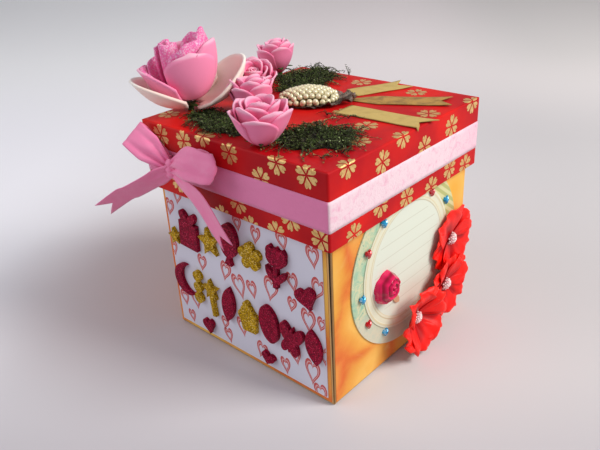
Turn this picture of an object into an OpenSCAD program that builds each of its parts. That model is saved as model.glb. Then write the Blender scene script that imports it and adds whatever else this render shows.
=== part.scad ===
// Gift box of folded card whose walls open out when the lid is lifted off, with a dressed lid.
// Millimetres. +Z is up, the origin is the middle of the underside, the heart panel faces -Y.

/* [Box sheets] */
// Outer width of the square base
base_side = 101.6; // [98:0.1:110]
// Height of the outer walls from the table to their top edges
wall_height = 107.9; // [105:0.1:118]
// Thickness of the folded card
card = 0.8; // [0.6:0.05:1]
// Outer radius of the folds along the bottom edges
fold_radius = 1.4; // [1.2:0.1:2.5]
// Gap between neighbouring walls at their top corners
corner_gap = 1; // [0.6:0.1:1.6]
// How far each inner sheet stands inside the one around it
layer_step = 3.2; // [2.4:0.1:6]
// How much lower the walls of each inner sheet are
layer_drop = 9.5; // [4:0.5:20]

/* [Papers on the walls] */
// Thickness of the patterned wall papers
paper = 0.25; // [0.15:0.05:0.35]
// Border of bare card around each wall paper
paper_margin = 0.3; // [0.2:0.1:1.5]
// Thickness of the heart panel on the front wall
panel = 0.3; // [0.2:0.05:0.4]
// Border of wall paper left around the heart panel
panel_margin = 1.7; // [1:0.1:5]

/* [Lid] */
// Free play between the wall papers and the inside of the lid on each side
lid_play = 1.75; // [1.6:0.05:2.6]
// Height of the lid's skirt
skirt = 31.75; // [28:0.25:33]
// Gap under the top of the lid above the wall edges
lid_rest = 0.2; // [0.1:0.05:0.4]
// Rounding of the lid's folded edges
lid_fold = 0.9; // [0.5:0.1:1.2]
// Length, height and thickness of the glue tabs inside the skirt
tab_length = 12; // [8:0.5:18]
tab_height = 26; // [15:0.5:27]
tab_card = 0.5; // [0.3:0.05:0.6]

/* [Ribbon and bow] */
// Width of the satin ribbon
ribbon_width = 12.7; // [10:0.1:14]
// Thickness of the satin ribbon
ribbon_card = 0.3; // [0.2:0.05:0.5]
// Distance of the ribbon's upper edge below the top of the lid
ribbon_drop = 11.1; // [9:0.1:14]
// Place of the knot along the front, from the middle
knot_x = -30.4; // [-32:0.1:-26]
// Radius and height of the knot
knot_radius = 3.8; // [3.6:0.1:4.4]
knot_height = 9; // [7:0.1:11]
// Puff of the two bow loops
loop_puff = 6; // [4:0.1:6.5]

/* [Foam shapes] */
// Thickness of the glittered foam
foam = 2; // [1:0.1:2.5]
// Height of the upper row below the edge of the skirt
upper_row = 17; // [15.5:0.1:18]
// Height of the lower row above the table
lower_row = 28; // [27:0.1:30]
// Height of the row of little hearts above the table
heart_row = 8.5; // [8:0.1:10]

/* [Round tag] */
// Radius of the patterned backing
backing_radius = 40; // [36:0.1:41]
// Thickness of the backing
backing_card = 0.6; // [0.4:0.05:0.65]
// Radius of the ivory label
label_radius = 32.3; // [30:0.1:33]
// Thickness of the label
label_card = 0.4; // [0.3:0.05:0.5]
// Height of the tag's middle above the table
tag_z = 49; // [47:0.1:51]
// Width and thickness of the little heart gems
gem_width = 4; // [3:0.1:4.2]
gem_height = 1.5; // [1:0.1:2]
// Width and depth of the carved rosebud
rosebud_width = 15; // [12:0.1:16]
rosebud_depth = 7; // [5:0.1:8]

/* [Fabric blossoms] */
// Radius of the large fabric blossoms
blossom_radius = 16.4; // [14:0.1:16.8]
// Radius of the middle blossom
middle_blossom_radius = 15; // [13:0.1:15.5]
// How far the petals of the upper, middle and lower blossom stand out
upper_blossom_depth = 2.2; // [1.5:0.1:2.4]
middle_blossom_depth = 2.5; // [2:0.1:2.8]
lower_blossom_depth = 7.6; // [7:0.1:9]
// Height of the pad that lifts the middle blossom over the upper one
middle_pad = 2.6; // [2.5:0.1:3]
// Height of the pad that lifts the lower blossom over the middle one
lower_pad = 3.2; // [3.1:0.1:4]
// Thickness of the petal fabric
petal_cloth = 0.5; // [0.4:0.05:0.7]
// Radius of one bead in the blossom centres
bead_radius = 1.1; // [0.9:0.05:1.2]

/* [Roses] */
// Thickness of the foam petals on the small roses
rose_foam = 0.7; // [0.5:0.05:0.9]
// Thickness of the foam petals on the large rose
large_rose_foam = 1.1; // [0.8:0.05:1.3]
// Radius and height of the large rose's cream petals
cream_radius = 24.8; // [23:0.1:26]
cream_height = 16; // [14:0.1:18]
// Radius and height of the large rose's pink petals
pink_radius = 17; // [15:0.1:18]
pink_height = 24.5; // [22:0.1:26]
// Height of the glittered petals inside them
glitter_height = 27; // [24:0.1:28]
// Radius of the green knob that each rose sits on
knob_radius = 2; // [1.8:0.05:2.4]

/* [Pearls, mesh and moss] */
// Radius of one pearl
pearl_radius = 1.85; // [1.5:0.05:2]
// Half length and half depth of the oval bed of pearls
pearl_bed = [13.5, 9.5];
// Thickness of the amber plate under the pearls
pearl_plate = 1.6; // [1:0.1:2.4]
// Half length and half depth of the mesh frill
frill = [18, 12.5];
// Thickness of the mesh frill
frill_card = 0.4; // [0.3:0.05:0.6]
// Height of the waves along the edge of the frill
frill_wave = 2.2; // [1:0.1:3]
// Thickness of the mat that the moss sprigs stand in
moss_mat = 1; // [0.8:0.1:1.4]
// Mean length of the moss sprigs
moss_length = 4; // [3:0.1:5]

/* [Banner strips] */
// Width of the three swallowtail strips
banner_width = 12.2; // [10:0.1:12.4]
// Thickness of the strips
banner_card = 0.35; // [0.25:0.05:0.5]
// Depth of the V cut in the strips
banner_notch = 5; // [3:0.1:8]

/* [Hidden] */
eps = 0.01;
lid_inside = base_side + 2 * (paper + lid_play);
lid_side = lid_inside + 2 * card;
lid_top = wall_height + lid_rest + card;
skirt_z = lid_top - skirt;
ribbon_z = lid_top - ribbon_drop - ribbon_width;
ribbon_slack = 0.02;
ribbon_face = lid_side / 2 + ribbon_slack + ribbon_card;
flap_slack = 0.1;
wall_face = base_side / 2 + paper;
panel_face = wall_face + panel;
tag_x = wall_face + backing_card;
label_x = tag_x + label_card;
tag_y = 1;
knob_z = lid_top + 0.4 * knob_radius;
banner_z = lid_top;
frill_z = banner_z + banner_card;
plate_z = frill_z + frill_card;
bed_turn = 43;
gold = "#c9a02c";
wine = "#8c1030";
below_skirt = skirt_z - 0.4;

// The glittered foam shapes: name, outline, gold or wine, place along the wall, row,
// width, height, tilt
ROWS = [skirt_z - upper_row, lower_row, heart_row];
FOAM = [
    ["foam_little_star", "star", gold, -42.8, 0, 9, 9, 12, -7],
    ["foam_gift", "gift", wine, -31.8, 0, 12, 20, -4, 0],
    ["foam_star", "star", gold, -18, 0, 14, 15, 8, -2.5],
    ["foam_balloon", "balloon", wine, -4.6, 0, 11, 21, -6, 1],
    ["foam_blossom", "blossom", gold, 8.4, 0, 13.5, 13.5, 20, -0.5],
    ["foam_tulip", "tulip", wine, 23.6, 0, 15, 20, -5, -0.5],
    ["foam_heart", "heart", wine, 39.6, 0, 11, 10, 24, -9.5],
    ["foam_moon", "moon", wine, -42.6, 1, 8.6, 17, 3, 2.5],
    ["foam_beads", "beads", gold, -30.2, 1, 5.6, 18, -3, 1.5],
    ["foam_wand", "wand", gold, -20.8, 1, 11.5, 20, 5, -1],
    ["foam_leaf", "leaf", wine, -9.4, 1, 8, 20, -8, 0],
    ["foam_cake", "cake", gold, 3.4, 1, 12, 16, 4, -1],
    ["foam_oval", "oval", wine, 16.6, 1, 11, 19, 8, 0.5],
    ["foam_butterfly", "butterfly", wine, 29.4, 1, 12, 16, -10, -2],
    ["foam_bud", "leaf", wine, 42.2, 1, 8, 17, 12, 0]
];
// The little foam hearts: place along the wall, width, height, tilt
LITTLE_HEARTS = [[-25.8, 7.5, 8, 10], [14.3, 8, 6.5, -12]];

// The roses: name, place on the lid, radius, height, lean, direction of the lean, spin, rise
ROSES = [
    ["front_rose", [15, -46], 12.6, 15, 3, -46, 20, 0],
    ["middle_rose", [-15.5, -21], 10.5, 13, 8, 150, 60, 0],
    ["side_rose", [-38, 2.5], 11, 12.5, 26, -46, 25, 0],
    ["back_rose", [-49.4, 32], 10.2, 13, 12, 190, 40, 2.2]
];
LARGE_ROSE = ["large_rose", [-45, -32], cream_radius, cream_height, 5, 223, 0, 0];
// Directions of the three cream petals, and how far each one reaches around
CREAM_PETALS = [43, 133, 223];
cream_spread = 80;
sepal = 5.5;
sepal_foam = 0.4;
// Gap between one ring of petals and the next
ring_gap = 0.1;

// The moss clumps: name, place on the lid, half length, half depth, turn, sprigs
MOSS = [
    ["front_moss", [-20, -38.5], [18.5, 7], -13, 38],
    ["right_moss", [27.5, -29.5], [16.5, 12.5], 25, 40],
    ["back_moss", [-31, 31], [22, 12], 113, 40]
];

// The swallowtail strips: name, middle of the inner end, direction, length, pinch
BANNERS = [
    ["upper_banner", [1.4, 27.2], 62, 27, 0],
    ["middle_banner", [8.4, 18.6], 29, 42.5, 12],
    ["lower_banner", [13.6, 5.6], 2, 39.6, 0]
];

// The fabric blossoms: name, angle and distance on the tag, radius, depth, spin, height of the pad
BLOSSOMS = [
    ["upper_blossom", -8, label_radius + 3.4, blossom_radius, upper_blossom_depth, 52, 0],
    ["middle_blossom", -42.5, label_radius + 5.7, middle_blossom_radius, middle_blossom_depth, 25, middle_pad],
    ["lower_blossom", -86.2, label_radius - 1.8, blossom_radius, lower_blossom_depth, 48, lower_pad]
];
blossom_curl = 1;
above_table = 0.8;

// The gems around the label: angle on the tag and distance from the label's edge
RED_GEMS = [[57, -1.3], [152, 1.3], [213, 2.6]];
BLUE_GEMS = [[29, 2.3], [127, -0.8], [187, 1.7], [241, 2.3]];
// The rosebud and its leaf: place from the tag's middle, as shares of the label's radius
rosebud_place = [-0.557, -0.17];
leaf_place = [-0.291, -0.489];

// Flat outlines

module heart_2d(w, h, steps = 30) {
    // half width, and the rise of the curve above and below its own zero
    half = 16;
    low = 17;
    span = 28.9;
    polygon([for (k = [0:steps - 1]) let (a = 360 * k / steps) [
        w / 2 * pow(sin(a), 3),
        h * ((13 * cos(a) - 5 * cos(2 * a) - 2 * cos(3 * a) - cos(4 * a) + low) / span - 0.5)
    ]]);
}

module oval_2d(w, h, steps = 32) {
    polygon([for (k = [0:steps - 1]) let (a = 360 * k / steps) [w / 2 * cos(a), h / 2 * sin(a)]]);
}

module star_2d(w, h, points = 5, depth = 0.46) {
    polygon([for (k = [0:2 * points - 1])
        let (a = 90 + 180 * k / points, r = k % 2 == 0 ? 1 : depth) [w / 2 * r * cos(a), h / 2 * r * sin(a)]]);
}

module blossom_2d(w, petals = 5, steps = 60) {
    polygon([for (k = [0:steps - 1])
        let (a = 360 * k / steps, r = w / 2 * (0.62 + 0.38 * pow(abs(cos(petals * a / 2)), 0.7)))
        r * [cos(a), sin(a)]]);
}

module leaf_2d(w, h) {
    r = (w * w + h * h) / (4 * w);
    intersection() {
        translate([w / 2 - r, 0]) circle(r, $fn = 96);
        translate([r - w / 2, 0]) circle(r, $fn = 96);
    }
}

module moon_2d(w, h) {
    difference() {
        translate([h / 2 - w / 2, 0]) circle(h / 2, $fn = 64);
        translate([h / 2 - w / 2 + w * 0.55, h * 0.04]) circle(h * 0.47, $fn = 64);
    }
}

module balloon_2d(w, h) {
    body = h * 0.82;
    translate([0, (h - body) / 2]) oval_2d(w, body);
    polygon([[0, -h / 2 + 0.3 * h], [-w * 0.2, -h / 2], [w * 0.2, -h / 2]]);
}

module gift_2d(w, h) {
    box = h * 0.66;
    translate([-w / 2, -h / 2]) square([w, box]);
    for (s = [-1, 1])
        translate([s * w * 0.22, -h / 2 + box + h * 0.12]) rotate(-s * 38) oval_2d(w * 0.36, h * 0.36, 20);
}

module tulip_2d(w, h) {
    stem = w * 0.16;
    translate([-stem / 2, -h / 2]) square([stem, h * 0.7]);
    translate([0, h * 0.24]) oval_2d(w * 0.72, h * 0.44);
    for (s = [-1, 0, 1]) translate([s * w * 0.24, h * 0.36]) leaf_2d(w * 0.24, h * 0.28);
    for (s = [-1, 1])
        translate([s * w * 0.2, -h * 0.2]) rotate(-s * 38) leaf_2d(w * 0.22, h * 0.42);
}

module beads_2d(w, h) {
    for (k = [-1, 0, 1]) translate([0, k * (h - w) / 2]) circle(w / 2, $fn = 48);
    square([w * 0.3, h - w], center = true);
}

module wand_2d(w, h) {
    stick = w * 0.2;
    translate([-stick / 2, -h / 2]) square([stick, h * 0.7]);
    translate([0, h / 2 - w / 2]) star_2d(w, w);
}

module cake_2d(w, h) {
    cup = h * 0.5;
    polygon([[-w * 0.34, -h / 2], [w * 0.34, -h / 2], [w * 0.46, -h / 2 + cup], [-w * 0.46, -h / 2 + cup]]);
    translate([0, -h / 2 + cup]) oval_2d(w, h * 0.5);
    translate([0, h / 2 - w * 0.16]) circle(w * 0.16, $fn = 32);
    translate([0, h * 0.2]) oval_2d(w * 0.6, h * 0.36);
}

module butterfly_2d(w, h) {
    for (s = [-1, 1]) {
        translate([s * w * 0.27, h * 0.18]) rotate(-s * 28) oval_2d(w * 0.46, h * 0.62);
        translate([s * w * 0.2, -h * 0.24]) rotate(s * 20) oval_2d(w * 0.36, h * 0.48);
    }
    oval_2d(w * 0.2, h * 0.86);
}

module outline_2d(kind, w, h) {
    if (kind == "heart") heart_2d(w, h);
    if (kind == "star") star_2d(w, h);
    if (kind == "blossom") blossom_2d(w);
    if (kind == "leaf") leaf_2d(w, h);
    if (kind == "moon") moon_2d(w, h);
    if (kind == "balloon") balloon_2d(w, h);
    if (kind == "oval") oval_2d(w, h);
    if (kind == "gift") gift_2d(w, h);
    if (kind == "tulip") tulip_2d(w, h);
    if (kind == "beads") beads_2d(w, h);
    if (kind == "wand") wand_2d(w, h);
    if (kind == "cake") cake_2d(w, h);
    if (kind == "butterfly") butterfly_2d(w, h);
}

module rounded_square(side, r) {
    square([side, side - 2 * r], center = true);
    square([side - 2 * r, side], center = true);
    for (x = [-1, 1], y = [-1, 1]) translate([x, y] * (side / 2 - r)) circle(r, $fn = 48);
}

// Places on the walls: the outline is drawn as seen from outside, x along the wall and y up

module on_front(y) {
    translate([0, -y, 0]) rotate([90, 0, 0]) children();
}

module on_right(x) {
    translate([x, 0, 0]) rotate([90, 0, 90]) children();
}

// Folded sheets

// Half widths of a flap at the fold and at its top edge
function flap_foot(side) = side / 2 - card - flap_slack;
function flap_tip(side) = flap_foot(side) - corner_gap / 2;

module flap_2d(side, top, inset) {
    polygon([
        [-flap_foot(side) + inset, fold_radius + inset], [flap_foot(side) - inset, fold_radius + inset],
        [flap_tip(side) - inset, top - inset], [-flap_tip(side) + inset, top - inset]
    ]);
}

module folded_profile_2d(side, top, r) {
    translate([-side / 2, r]) square([side, top - r]);
    translate([-side / 2 + r, 0]) square([side - 2 * r, top]);
    for (s = [-1, 1]) translate([s * (side / 2 - r), r]) circle(r, $fn = 48);
}

// One strip of the cross: the bottom and two facing walls, narrowing towards their tips
module wall_pair(side, top) {
    reach = side + eps;
    foot = flap_foot(side);
    tip = flap_tip(side);
    intersection() {
        translate([-foot, 0, 0]) rotate([90, 0, 90]) linear_extrude(2 * foot) difference() {
            folded_profile_2d(side, top, fold_radius);
            translate([0, card]) folded_profile_2d(side - 2 * card, top + card, fold_radius - card);
        }
        translate([0, reach / 2, 0]) rotate([90, 0, 0]) linear_extrude(reach) polygon([
            [-foot, -eps], [foot, -eps], [foot, fold_radius],
            [tip, top + eps], [-tip, top + eps], [-foot, fold_radius]
        ]);
    }
}

// The level of the sheet is 0 for the outer one, and its walls are lower by one step each time
module folded_cross(level) {
    side = base_side - 2 * layer_step * level;
    top = wall_height - layer_drop * level - card * level;
    translate([0, 0, card * level]) for (turn = [0, 90]) rotate(turn) wall_pair(side, top);
}

module outer_sheet() { color("#d9a06a") folded_cross(0); }
module middle_sheet() { color("#efe3cf") folded_cross(1); }
module inner_sheet() { color("#e7c9b4") folded_cross(2); }

module wall_papers() {
    color("#f0a040") for (turn = [0, 90, 180, 270]) rotate(turn)
        on_front(base_side / 2) linear_extrude(paper) flap_2d(base_side, wall_height, paper_margin);
}

module heart_panel() {
    color("#e8e6ee") on_front(wall_face) linear_extrude(panel)
        flap_2d(base_side, wall_height, paper_margin + panel_margin);
}

module foam_shape(f) {
    color(f[2]) on_front(panel_face) translate([f[3], ROWS[f[4]] + f[8]]) rotate(f[7])
        linear_extrude(foam) outline_2d(f[1], f[5], f[6]);
}

module foam_little_hearts() {
    color(wine) on_front(panel_face) for (h = LITTLE_HEARTS)
        translate([h[0], heart_row]) rotate(h[3]) linear_extrude(foam) heart_2d(h[1], h[2]);
}

// The round tag on the right wall

module tag_backing() {
    color("#b9d3b4") on_right(wall_face) translate([tag_y, tag_z])
        cylinder(r = backing_radius, h = backing_card, $fn = 120);
}

module tag_label() {
    color("#f2f0de") on_right(tag_x) translate([tag_y, tag_z])
        cylinder(r = label_radius, h = label_card, $fn = 120);
}

// Gems that would reach the lid stay just below its edge
module gems(places) {
    for (g = places) {
        at = [tag_y, tag_z] + (label_radius + g[1]) * [cos(g[0]), sin(g[0])];
        seat = g[1] > gem_width / 2 ? tag_x : label_x;
        on_right(seat) translate([at[0], min(at[1], below_skirt - gem_width / 2)]) {
            linear_extrude(gem_height / 2) heart_2d(gem_width, gem_width, 20);
            linear_extrude(gem_height) heart_2d(gem_width * 0.7, gem_width * 0.7, 20);
        }
    }
}

module red_gems() { color("#d01a1a") gems(RED_GEMS); }
module blue_gems() { color("#2aa5cf") gems(BLUE_GEMS); }

// A solid dome with petal lobes around its rim, flat underneath
module lobed_dome(n, r, h, dip, steps = 30, rings = 4) {
    at = [for (i = [0:steps - 1], j = [0:rings - 1]) let (
        a = 360 * i / steps, e = 90 * j / rings, lobe = 1 - dip * pow(abs(sin(n * a / 2)), 2)
    ) [r * lobe * cos(e) * cos(a), r * lobe * cos(e) * sin(a), h * sin(e)]];
    top = steps * rings;
    polyhedron(
        concat(at, [[0, 0, h], [0, 0, 0]]),
        concat(
            [for (i = [0:steps - 1], j = [0:rings - 2]) each let (
                p = i * rings + j, q = (i + 1) % steps * rings + j
            ) [[p, p + 1, q + 1], [p, q + 1, q]]],
            [for (i = [0:steps - 1]) [i * rings + rings - 1, top, (i + 1) % steps * rings + rings - 1]],
            [for (i = [0:steps - 1]) [i * rings, (i + 1) % steps * rings, top + 1]]
        )
    );
}

module carved_rosebud() {
    r = rosebud_width / 2;
    color("#c41e6e") on_right(label_x) translate([tag_y, tag_z] + label_radius * rosebud_place) {
        lobed_dome(5, r, rosebud_depth * 0.6, 0.16);
        rotate(36) lobed_dome(4, r * 0.74, rosebud_depth * 0.84, 0.16);
        rotate(15) lobed_dome(3, r * 0.46, rosebud_depth, 0.14);
    }
}

module rosebud_leaf() {
    color("#d9b48a") on_right(label_x) translate([tag_y, tag_z] + label_radius * leaf_place) rotate(40)
        linear_extrude(panel * 2) leaf_2d(3.4, 7);
}

// Cupped petals

// The flat middle of a cup ends at this share of the petals' length
cup_foot = 0.1;

// Evenly spaced petal directions
function around(n) = [for (k = [0:n - 1]) 360 * k / n];

// Turn from the nearest petal's middle, from -1 to 1 across the petal
function petal_turn(a, petals, spread) = let (
    d = [for (c = petals) (a - c + 540) % 360 - 180],
    near = min([for (v = d) abs(v)])
) [for (v = d) if (abs(v) == near) v][0] / spread;

// Length of the cup's edge at an angle, 1 at the middle of a petal
function petal_edge(turn, dip, sharp) = 1 - dip * pow(sin(90 * min(1, abs(turn))), sharp);

// Radius and height of the cup's underside for a share of its length; the wrap angle is 90
// for a bowl, less for an open cup and more for a closing one
function cup_point(u, turn, r, h, wrap, curl, lap) = let (
    c = curl * pow(cos(90 * min(1, abs(turn))), 2) * pow(u, 5),
    v = max(u - cup_foot, 0) / (1 - cup_foot)
) [
    r * (1 + lap * turn * u) * sin(wrap * u) / (wrap < 90 ? sin(wrap) : 1) + c,
    h * (1 - cos(wrap * v)) / (1 - cos(wrap)) - c / 2
];

// The same point on the inside of the petal
function cup_inside(u, t, turn, r, h, wrap, curl, lap) = let (
    p = cup_point(u, turn, r, h, wrap, curl, lap),
    d = cup_point(u + 0.03, turn, r, h, wrap, curl, lap) - p
) p + t / norm(d) * [-d[1], d[0]];

module petal_cup(petals, r, h, t, spread = 0, wrap = 75, dip = 0.14, sharp = 3, curl = 0, lap = 0.1,
        steps = 30, rings = 3) {
    reach = spread > 0 ? spread : 180 / len(petals);
    profile = 2 * (rings + 1);
    at = [for (i = [0:steps - 1]) let (
        a = 360 * i / steps, turn = petal_turn(a, petals, reach), edge = petal_edge(turn, dip, sharp)
    ) for (k = [0:profile - 1]) let (
        j = k <= rings ? k : profile - 1 - k,
        u = cup_foot + max(edge - cup_foot, 0.01) * j / rings,
        p = k <= rings ? cup_point(u, turn, r, h, wrap, curl, lap)
            : cup_inside(u, t, turn, r, h, wrap, curl, lap)
    ) [p[0] * cos(a), p[0] * sin(a), k == profile - 1 ? t : k == 0 ? 0 : p[1]]];
    pole = steps * profile;
    polyhedron(
        concat(at, [[0, 0, 0], [0, 0, t]]),
        concat(
            [for (i = [0:steps - 1], k = [0:profile - 2]) each let (
                p = i * profile + k, q = (i + 1) % steps * profile + k
            ) [[p, p + 1, q + 1], [p, q + 1, q]]],
            [for (i = [0:steps - 1]) [i * profile, (i + 1) % steps * profile, pole]],
            [for (i = [0:steps - 1])
                [i * profile + profile - 1, pole + 1, (i + 1) % steps * profile + profile - 1]]
        )
    );
}

// Fabric blossoms on the tag

// Place of a blossom along the wall and up
function blossom_at(b) = [tag_y, tag_z] + b[2] * [cos(b[1]), sin(b[1])];

module blossom(b) {
    at = blossom_at(b);
    r = min(b[3], at[1] - above_table - blossom_curl);
    color("#e01818") on_right(label_x) translate(at) rotate(b[5]) {
        translate([0, 0, b[6]])
            petal_cup(around(5), r, b[4], petal_cloth, wrap = 50, dip = 0.3, curl = blossom_curl, lap = 0);
        if (b[6] > 0) cylinder(r = cup_foot * r, h = b[6], $fn = 30);
    }
}

module blossom_centre(b) {
    stalk = 1.4 * bead_radius;
    color("#f4d3d8") on_right(label_x + b[6] + petal_cloth) translate(blossom_at(b)) {
        cylinder(r1 = 0.9 * bead_radius, r2 = 2 * bead_radius, h = stalk, $fn = 36);
        translate([0, 0, 1.3 * stalk]) sphere(1.1 * bead_radius, $fn = 24);
        for (k = around(6)) rotate(k) translate([2.15 * bead_radius, 0, stalk - 0.2 * bead_radius])
            sphere(bead_radius, $fn = 24);
    }
}

// Lid

module lid_block_2d(side) {
    r = lid_fold;
    translate([-side / 2, 0]) square([side, skirt - r]);
    translate([-side / 2 + r, 0]) square([side - 2 * r, skirt]);
    for (s = [-1, 1]) translate([s * (side / 2 - r), skirt - r]) circle(r, $fn = 48);
}

module lid_tray() {
    color("#c0182a") translate([0, 0, skirt_z]) {
        difference() {
            intersection() {
                linear_extrude(skirt) rounded_square(lid_side, lid_fold);
                translate([-lid_side / 2, 0, 0]) rotate([90, 0, 90]) linear_extrude(lid_side) lid_block_2d(lid_side);
                translate([0, lid_side / 2, 0]) rotate([90, 0, 0]) linear_extrude(lid_side) lid_block_2d(lid_side);
            }
            translate([-lid_inside / 2, -lid_inside / 2, -card]) cube([lid_inside, lid_inside, skirt]);
        }
        for (x = [-1, 1], y = [-1, 1])
            translate([
                x > 0 ? lid_inside / 2 - tab_length : -lid_inside / 2,
                y > 0 ? lid_inside / 2 - tab_card : -lid_inside / 2,
                skirt - card - tab_height
            ]) cube([tab_length, tab_card, tab_height]);
    }
}

module lid_ribbon() {
    color("#e87fae") translate([0, 0, ribbon_z]) linear_extrude(ribbon_width) difference() {
        rounded_square(2 * ribbon_face, lid_fold + ribbon_slack + ribbon_card);
        rounded_square(2 * ribbon_face - 2 * ribbon_card, lid_fold + ribbon_slack);
    }
}

// Bow

function unit(v) = v / norm(v);
function mix(a, b, s) = a * (1 - s) + b * s;

// A strip of ribbon through sections, each one its left edge, its middle and its right edge
module ribbon_strip(sections, t) {
    last = len(sections) - 1;
    at = [for (i = [0:last]) each let (
        s = sections[i],
        along = sections[min(i + 1, last)][1] - sections[max(i - 1, 0)][1],
        up = unit(cross(s[2] - s[0], along)) * t / 2
    ) [s[0] + up, s[1] + up, s[2] + up, s[2] - up, s[1] - up, s[0] - up]];
    polyhedron(at, concat(
        [for (i = [0:last - 1], k = [0:5]) each let (p = 6 * i + k, q = 6 * i + (k + 1) % 6)
            [[p, p + 6, q + 6], [p, q + 6, q]]],
        [[0, 1, 4], [0, 4, 5], [1, 2, 3], [1, 3, 4]],
        [for (f = [[0, 4, 1], [0, 5, 4], [1, 3, 2], [1, 4, 3]]) [for (v = f) v + 6 * last]]
    ));
}

function section(middle, half) = [middle - half, middle, middle + half];

// A loop that leaves the knot, turns at its tip and comes back
module bow_loop(tip, side) {
    start = [0, -knot_radius + 0.4, 0];
    foot = 3;
    upright = [0, 0, 1];
    puff = unit(cross(tip - start, side)) * loop_puff / 2;
    ribbon_strip([for (k = [0:20]) let (a = 14 + 332 * k / 20, s = (1 - cos(a)) / 2)
        section(mix(start, tip, s) + puff * sin(a),
            mix(foot, norm(side), min(1, 2.2 * s)) * unit(mix(upright, unit(side), s)))
    ], ribbon_card);
}

module ribbon_bow() {
    half = ribbon_width / 2;
    left_side = half * unit([1.85, 3.75, 3.85]);
    right_side = 1.15 * half * unit([-0.12, 0.35, 0.93]);
    left_hang = half * unit([0.25, -0.8, 0.8]);
    right_hang = half * unit([-0.77, 0.25, -0.57]);
    color("#e87fae") translate([knot_x, -ribbon_face, ribbon_z + ribbon_width / 2 + 1]) {
        intersection() {
            translate([0, -knot_radius + 0.8, -knot_height / 2]) cylinder(r = knot_radius, h = knot_height, $fn = 48);
            translate([-knot_height, -2 * knot_height, -knot_height])
                cube([2 * knot_height, 2 * knot_height, 2 * knot_height]);
        }
        bow_loop([-21.6, -6.9, 12.5], left_side);
        bow_loop([32, -6.9, 8.6], right_side);
        ribbon_strip([
            section([0, -4, -1], half * 0.5 * unit([0, -0.35, 1])),
            section([-6, -6.4, -4.6], half * 0.85 * unit([0.1, -0.6, 0.9])),
            section([-11.8, -8.1, -8.2], left_hang), section([-22.7, -11.1, -14.6], left_hang),
            section([-28, -12.6, -17.2], left_hang),
            [[-38.3, -13.1, -28.9], [-32.5, -14.6, -19.4], [-51.6, -16.1, -28.5]]
        ], ribbon_card);
        ribbon_strip([
            section([1, -4.6, -1], right_hang * 0.5), section([9.6, -6.2, -3.4], right_hang * 0.85),
            section([18.3, -7.1, -7], right_hang), section([23.6, -6.9, -13], right_hang),
            section([27.1, -6, -19.8], right_hang),
            [[37.9, -5.2, -25.2], [29, -5, -25], [26.7, -4, -30.6]]
        ], ribbon_card);
    }
}

// Strips, pearls and frill on the lid

module banner(b) {
    h = banner_width / 2;
    inner = b[4] > 0 ? h * 0.3 : h;
    color("#d9b56a") translate([b[1][0], b[1][1], banner_z]) rotate(b[2]) linear_extrude(banner_card) polygon([
        [0, -inner], [b[4], -h], [b[3], -h], [b[3] - banner_notch, 0], [b[3], h], [b[4], h], [0, inner]
    ]);
}

pearl_place = [-6, 5];
frill_place = [-3, 8];

// A flat oval sheet whose scalloped edge rises in waves on the side away from the pearls
module mesh_frill() {
    steps = 60;
    waves = 10;
    share = [0.3, 0.72, 1];
    lift = [0, 0, 1];
    rings = len(share);
    clear = 0.2;
    function level(a, j) = frill_wave * lift[j] * (0.5 + 0.5 * sin(waves * a)) * max(0, cos(a) - clear);
    at = [for (side = [0, 1], i = [0:steps - 1], j = [0:rings - 1]) let (a = 360 * i / steps,
        edge = share[j] * (j == rings - 1 ? 1 + 0.05 * cos(waves * a) : 1)
    ) [frill[0] * edge * cos(a), frill[1] * edge * sin(a), level(a, j) + side * frill_card]];
    half = steps * rings;
    pole = 2 * half;
    function low(i, j) = (i % steps) * rings + j;
    color("#8d7f78") translate([frill_place[0], frill_place[1], frill_z]) rotate(bed_turn) polyhedron(
        concat(at, [[0, 0, 0], [0, 0, frill_card]]),
        concat(
            [for (i = [0:steps - 1], j = [0:rings - 2]) each [
                [low(i, j), low(i, j + 1), low(i + 1, j + 1)], [low(i, j), low(i + 1, j + 1), low(i + 1, j)],
                half * [1, 1, 1] + [low(i, j), low(i + 1, j + 1), low(i, j + 1)],
                half * [1, 1, 1] + [low(i, j), low(i + 1, j), low(i + 1, j + 1)]
            ]],
            [for (i = [0:steps - 1]) each [
                [low(i, rings - 1), half + low(i, rings - 1), half + low(i + 1, rings - 1)],
                [low(i, rings - 1), half + low(i + 1, rings - 1), low(i + 1, rings - 1)],
                [low(i, 0), low(i + 1, 0), pole], [half + low(i + 1, 0), half + low(i, 0), pole + 1]
            ]]
        )
    );
}

module pearl_plate() {
    color("#c58a3c") translate([pearl_place[0], pearl_place[1], plate_z]) rotate(bed_turn)
        linear_extrude(pearl_plate) oval_2d(2 * pearl_bed[0] - pearl_radius, 2 * pearl_bed[1] - pearl_radius, 48);
}

// Pearls in close rows over the plate
module pearls() {
    pitch = 2 * pearl_radius + 0.05;
    row = pitch * sin(60);
    count = ceil(pearl_bed[0] / pitch) + 1;
    lines = ceil(pearl_bed[1] / row);
    color("#f3ecd8") translate([pearl_place[0], pearl_place[1], plate_z + pearl_plate + pearl_radius]) rotate(bed_turn)
        for (v = [-lines:lines], u = [-count:count]) {
            x = pitch * (u + (abs(v) % 2) / 2);
            y = row * v;
            if (pow(x / (pearl_bed[0] - pearl_radius / 2), 2) + pow(y / (pearl_bed[1] - pearl_radius / 2), 2) <= 1)
                translate([x, y, 0]) sphere(pearl_radius, $fn = 24);
        }
}

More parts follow.
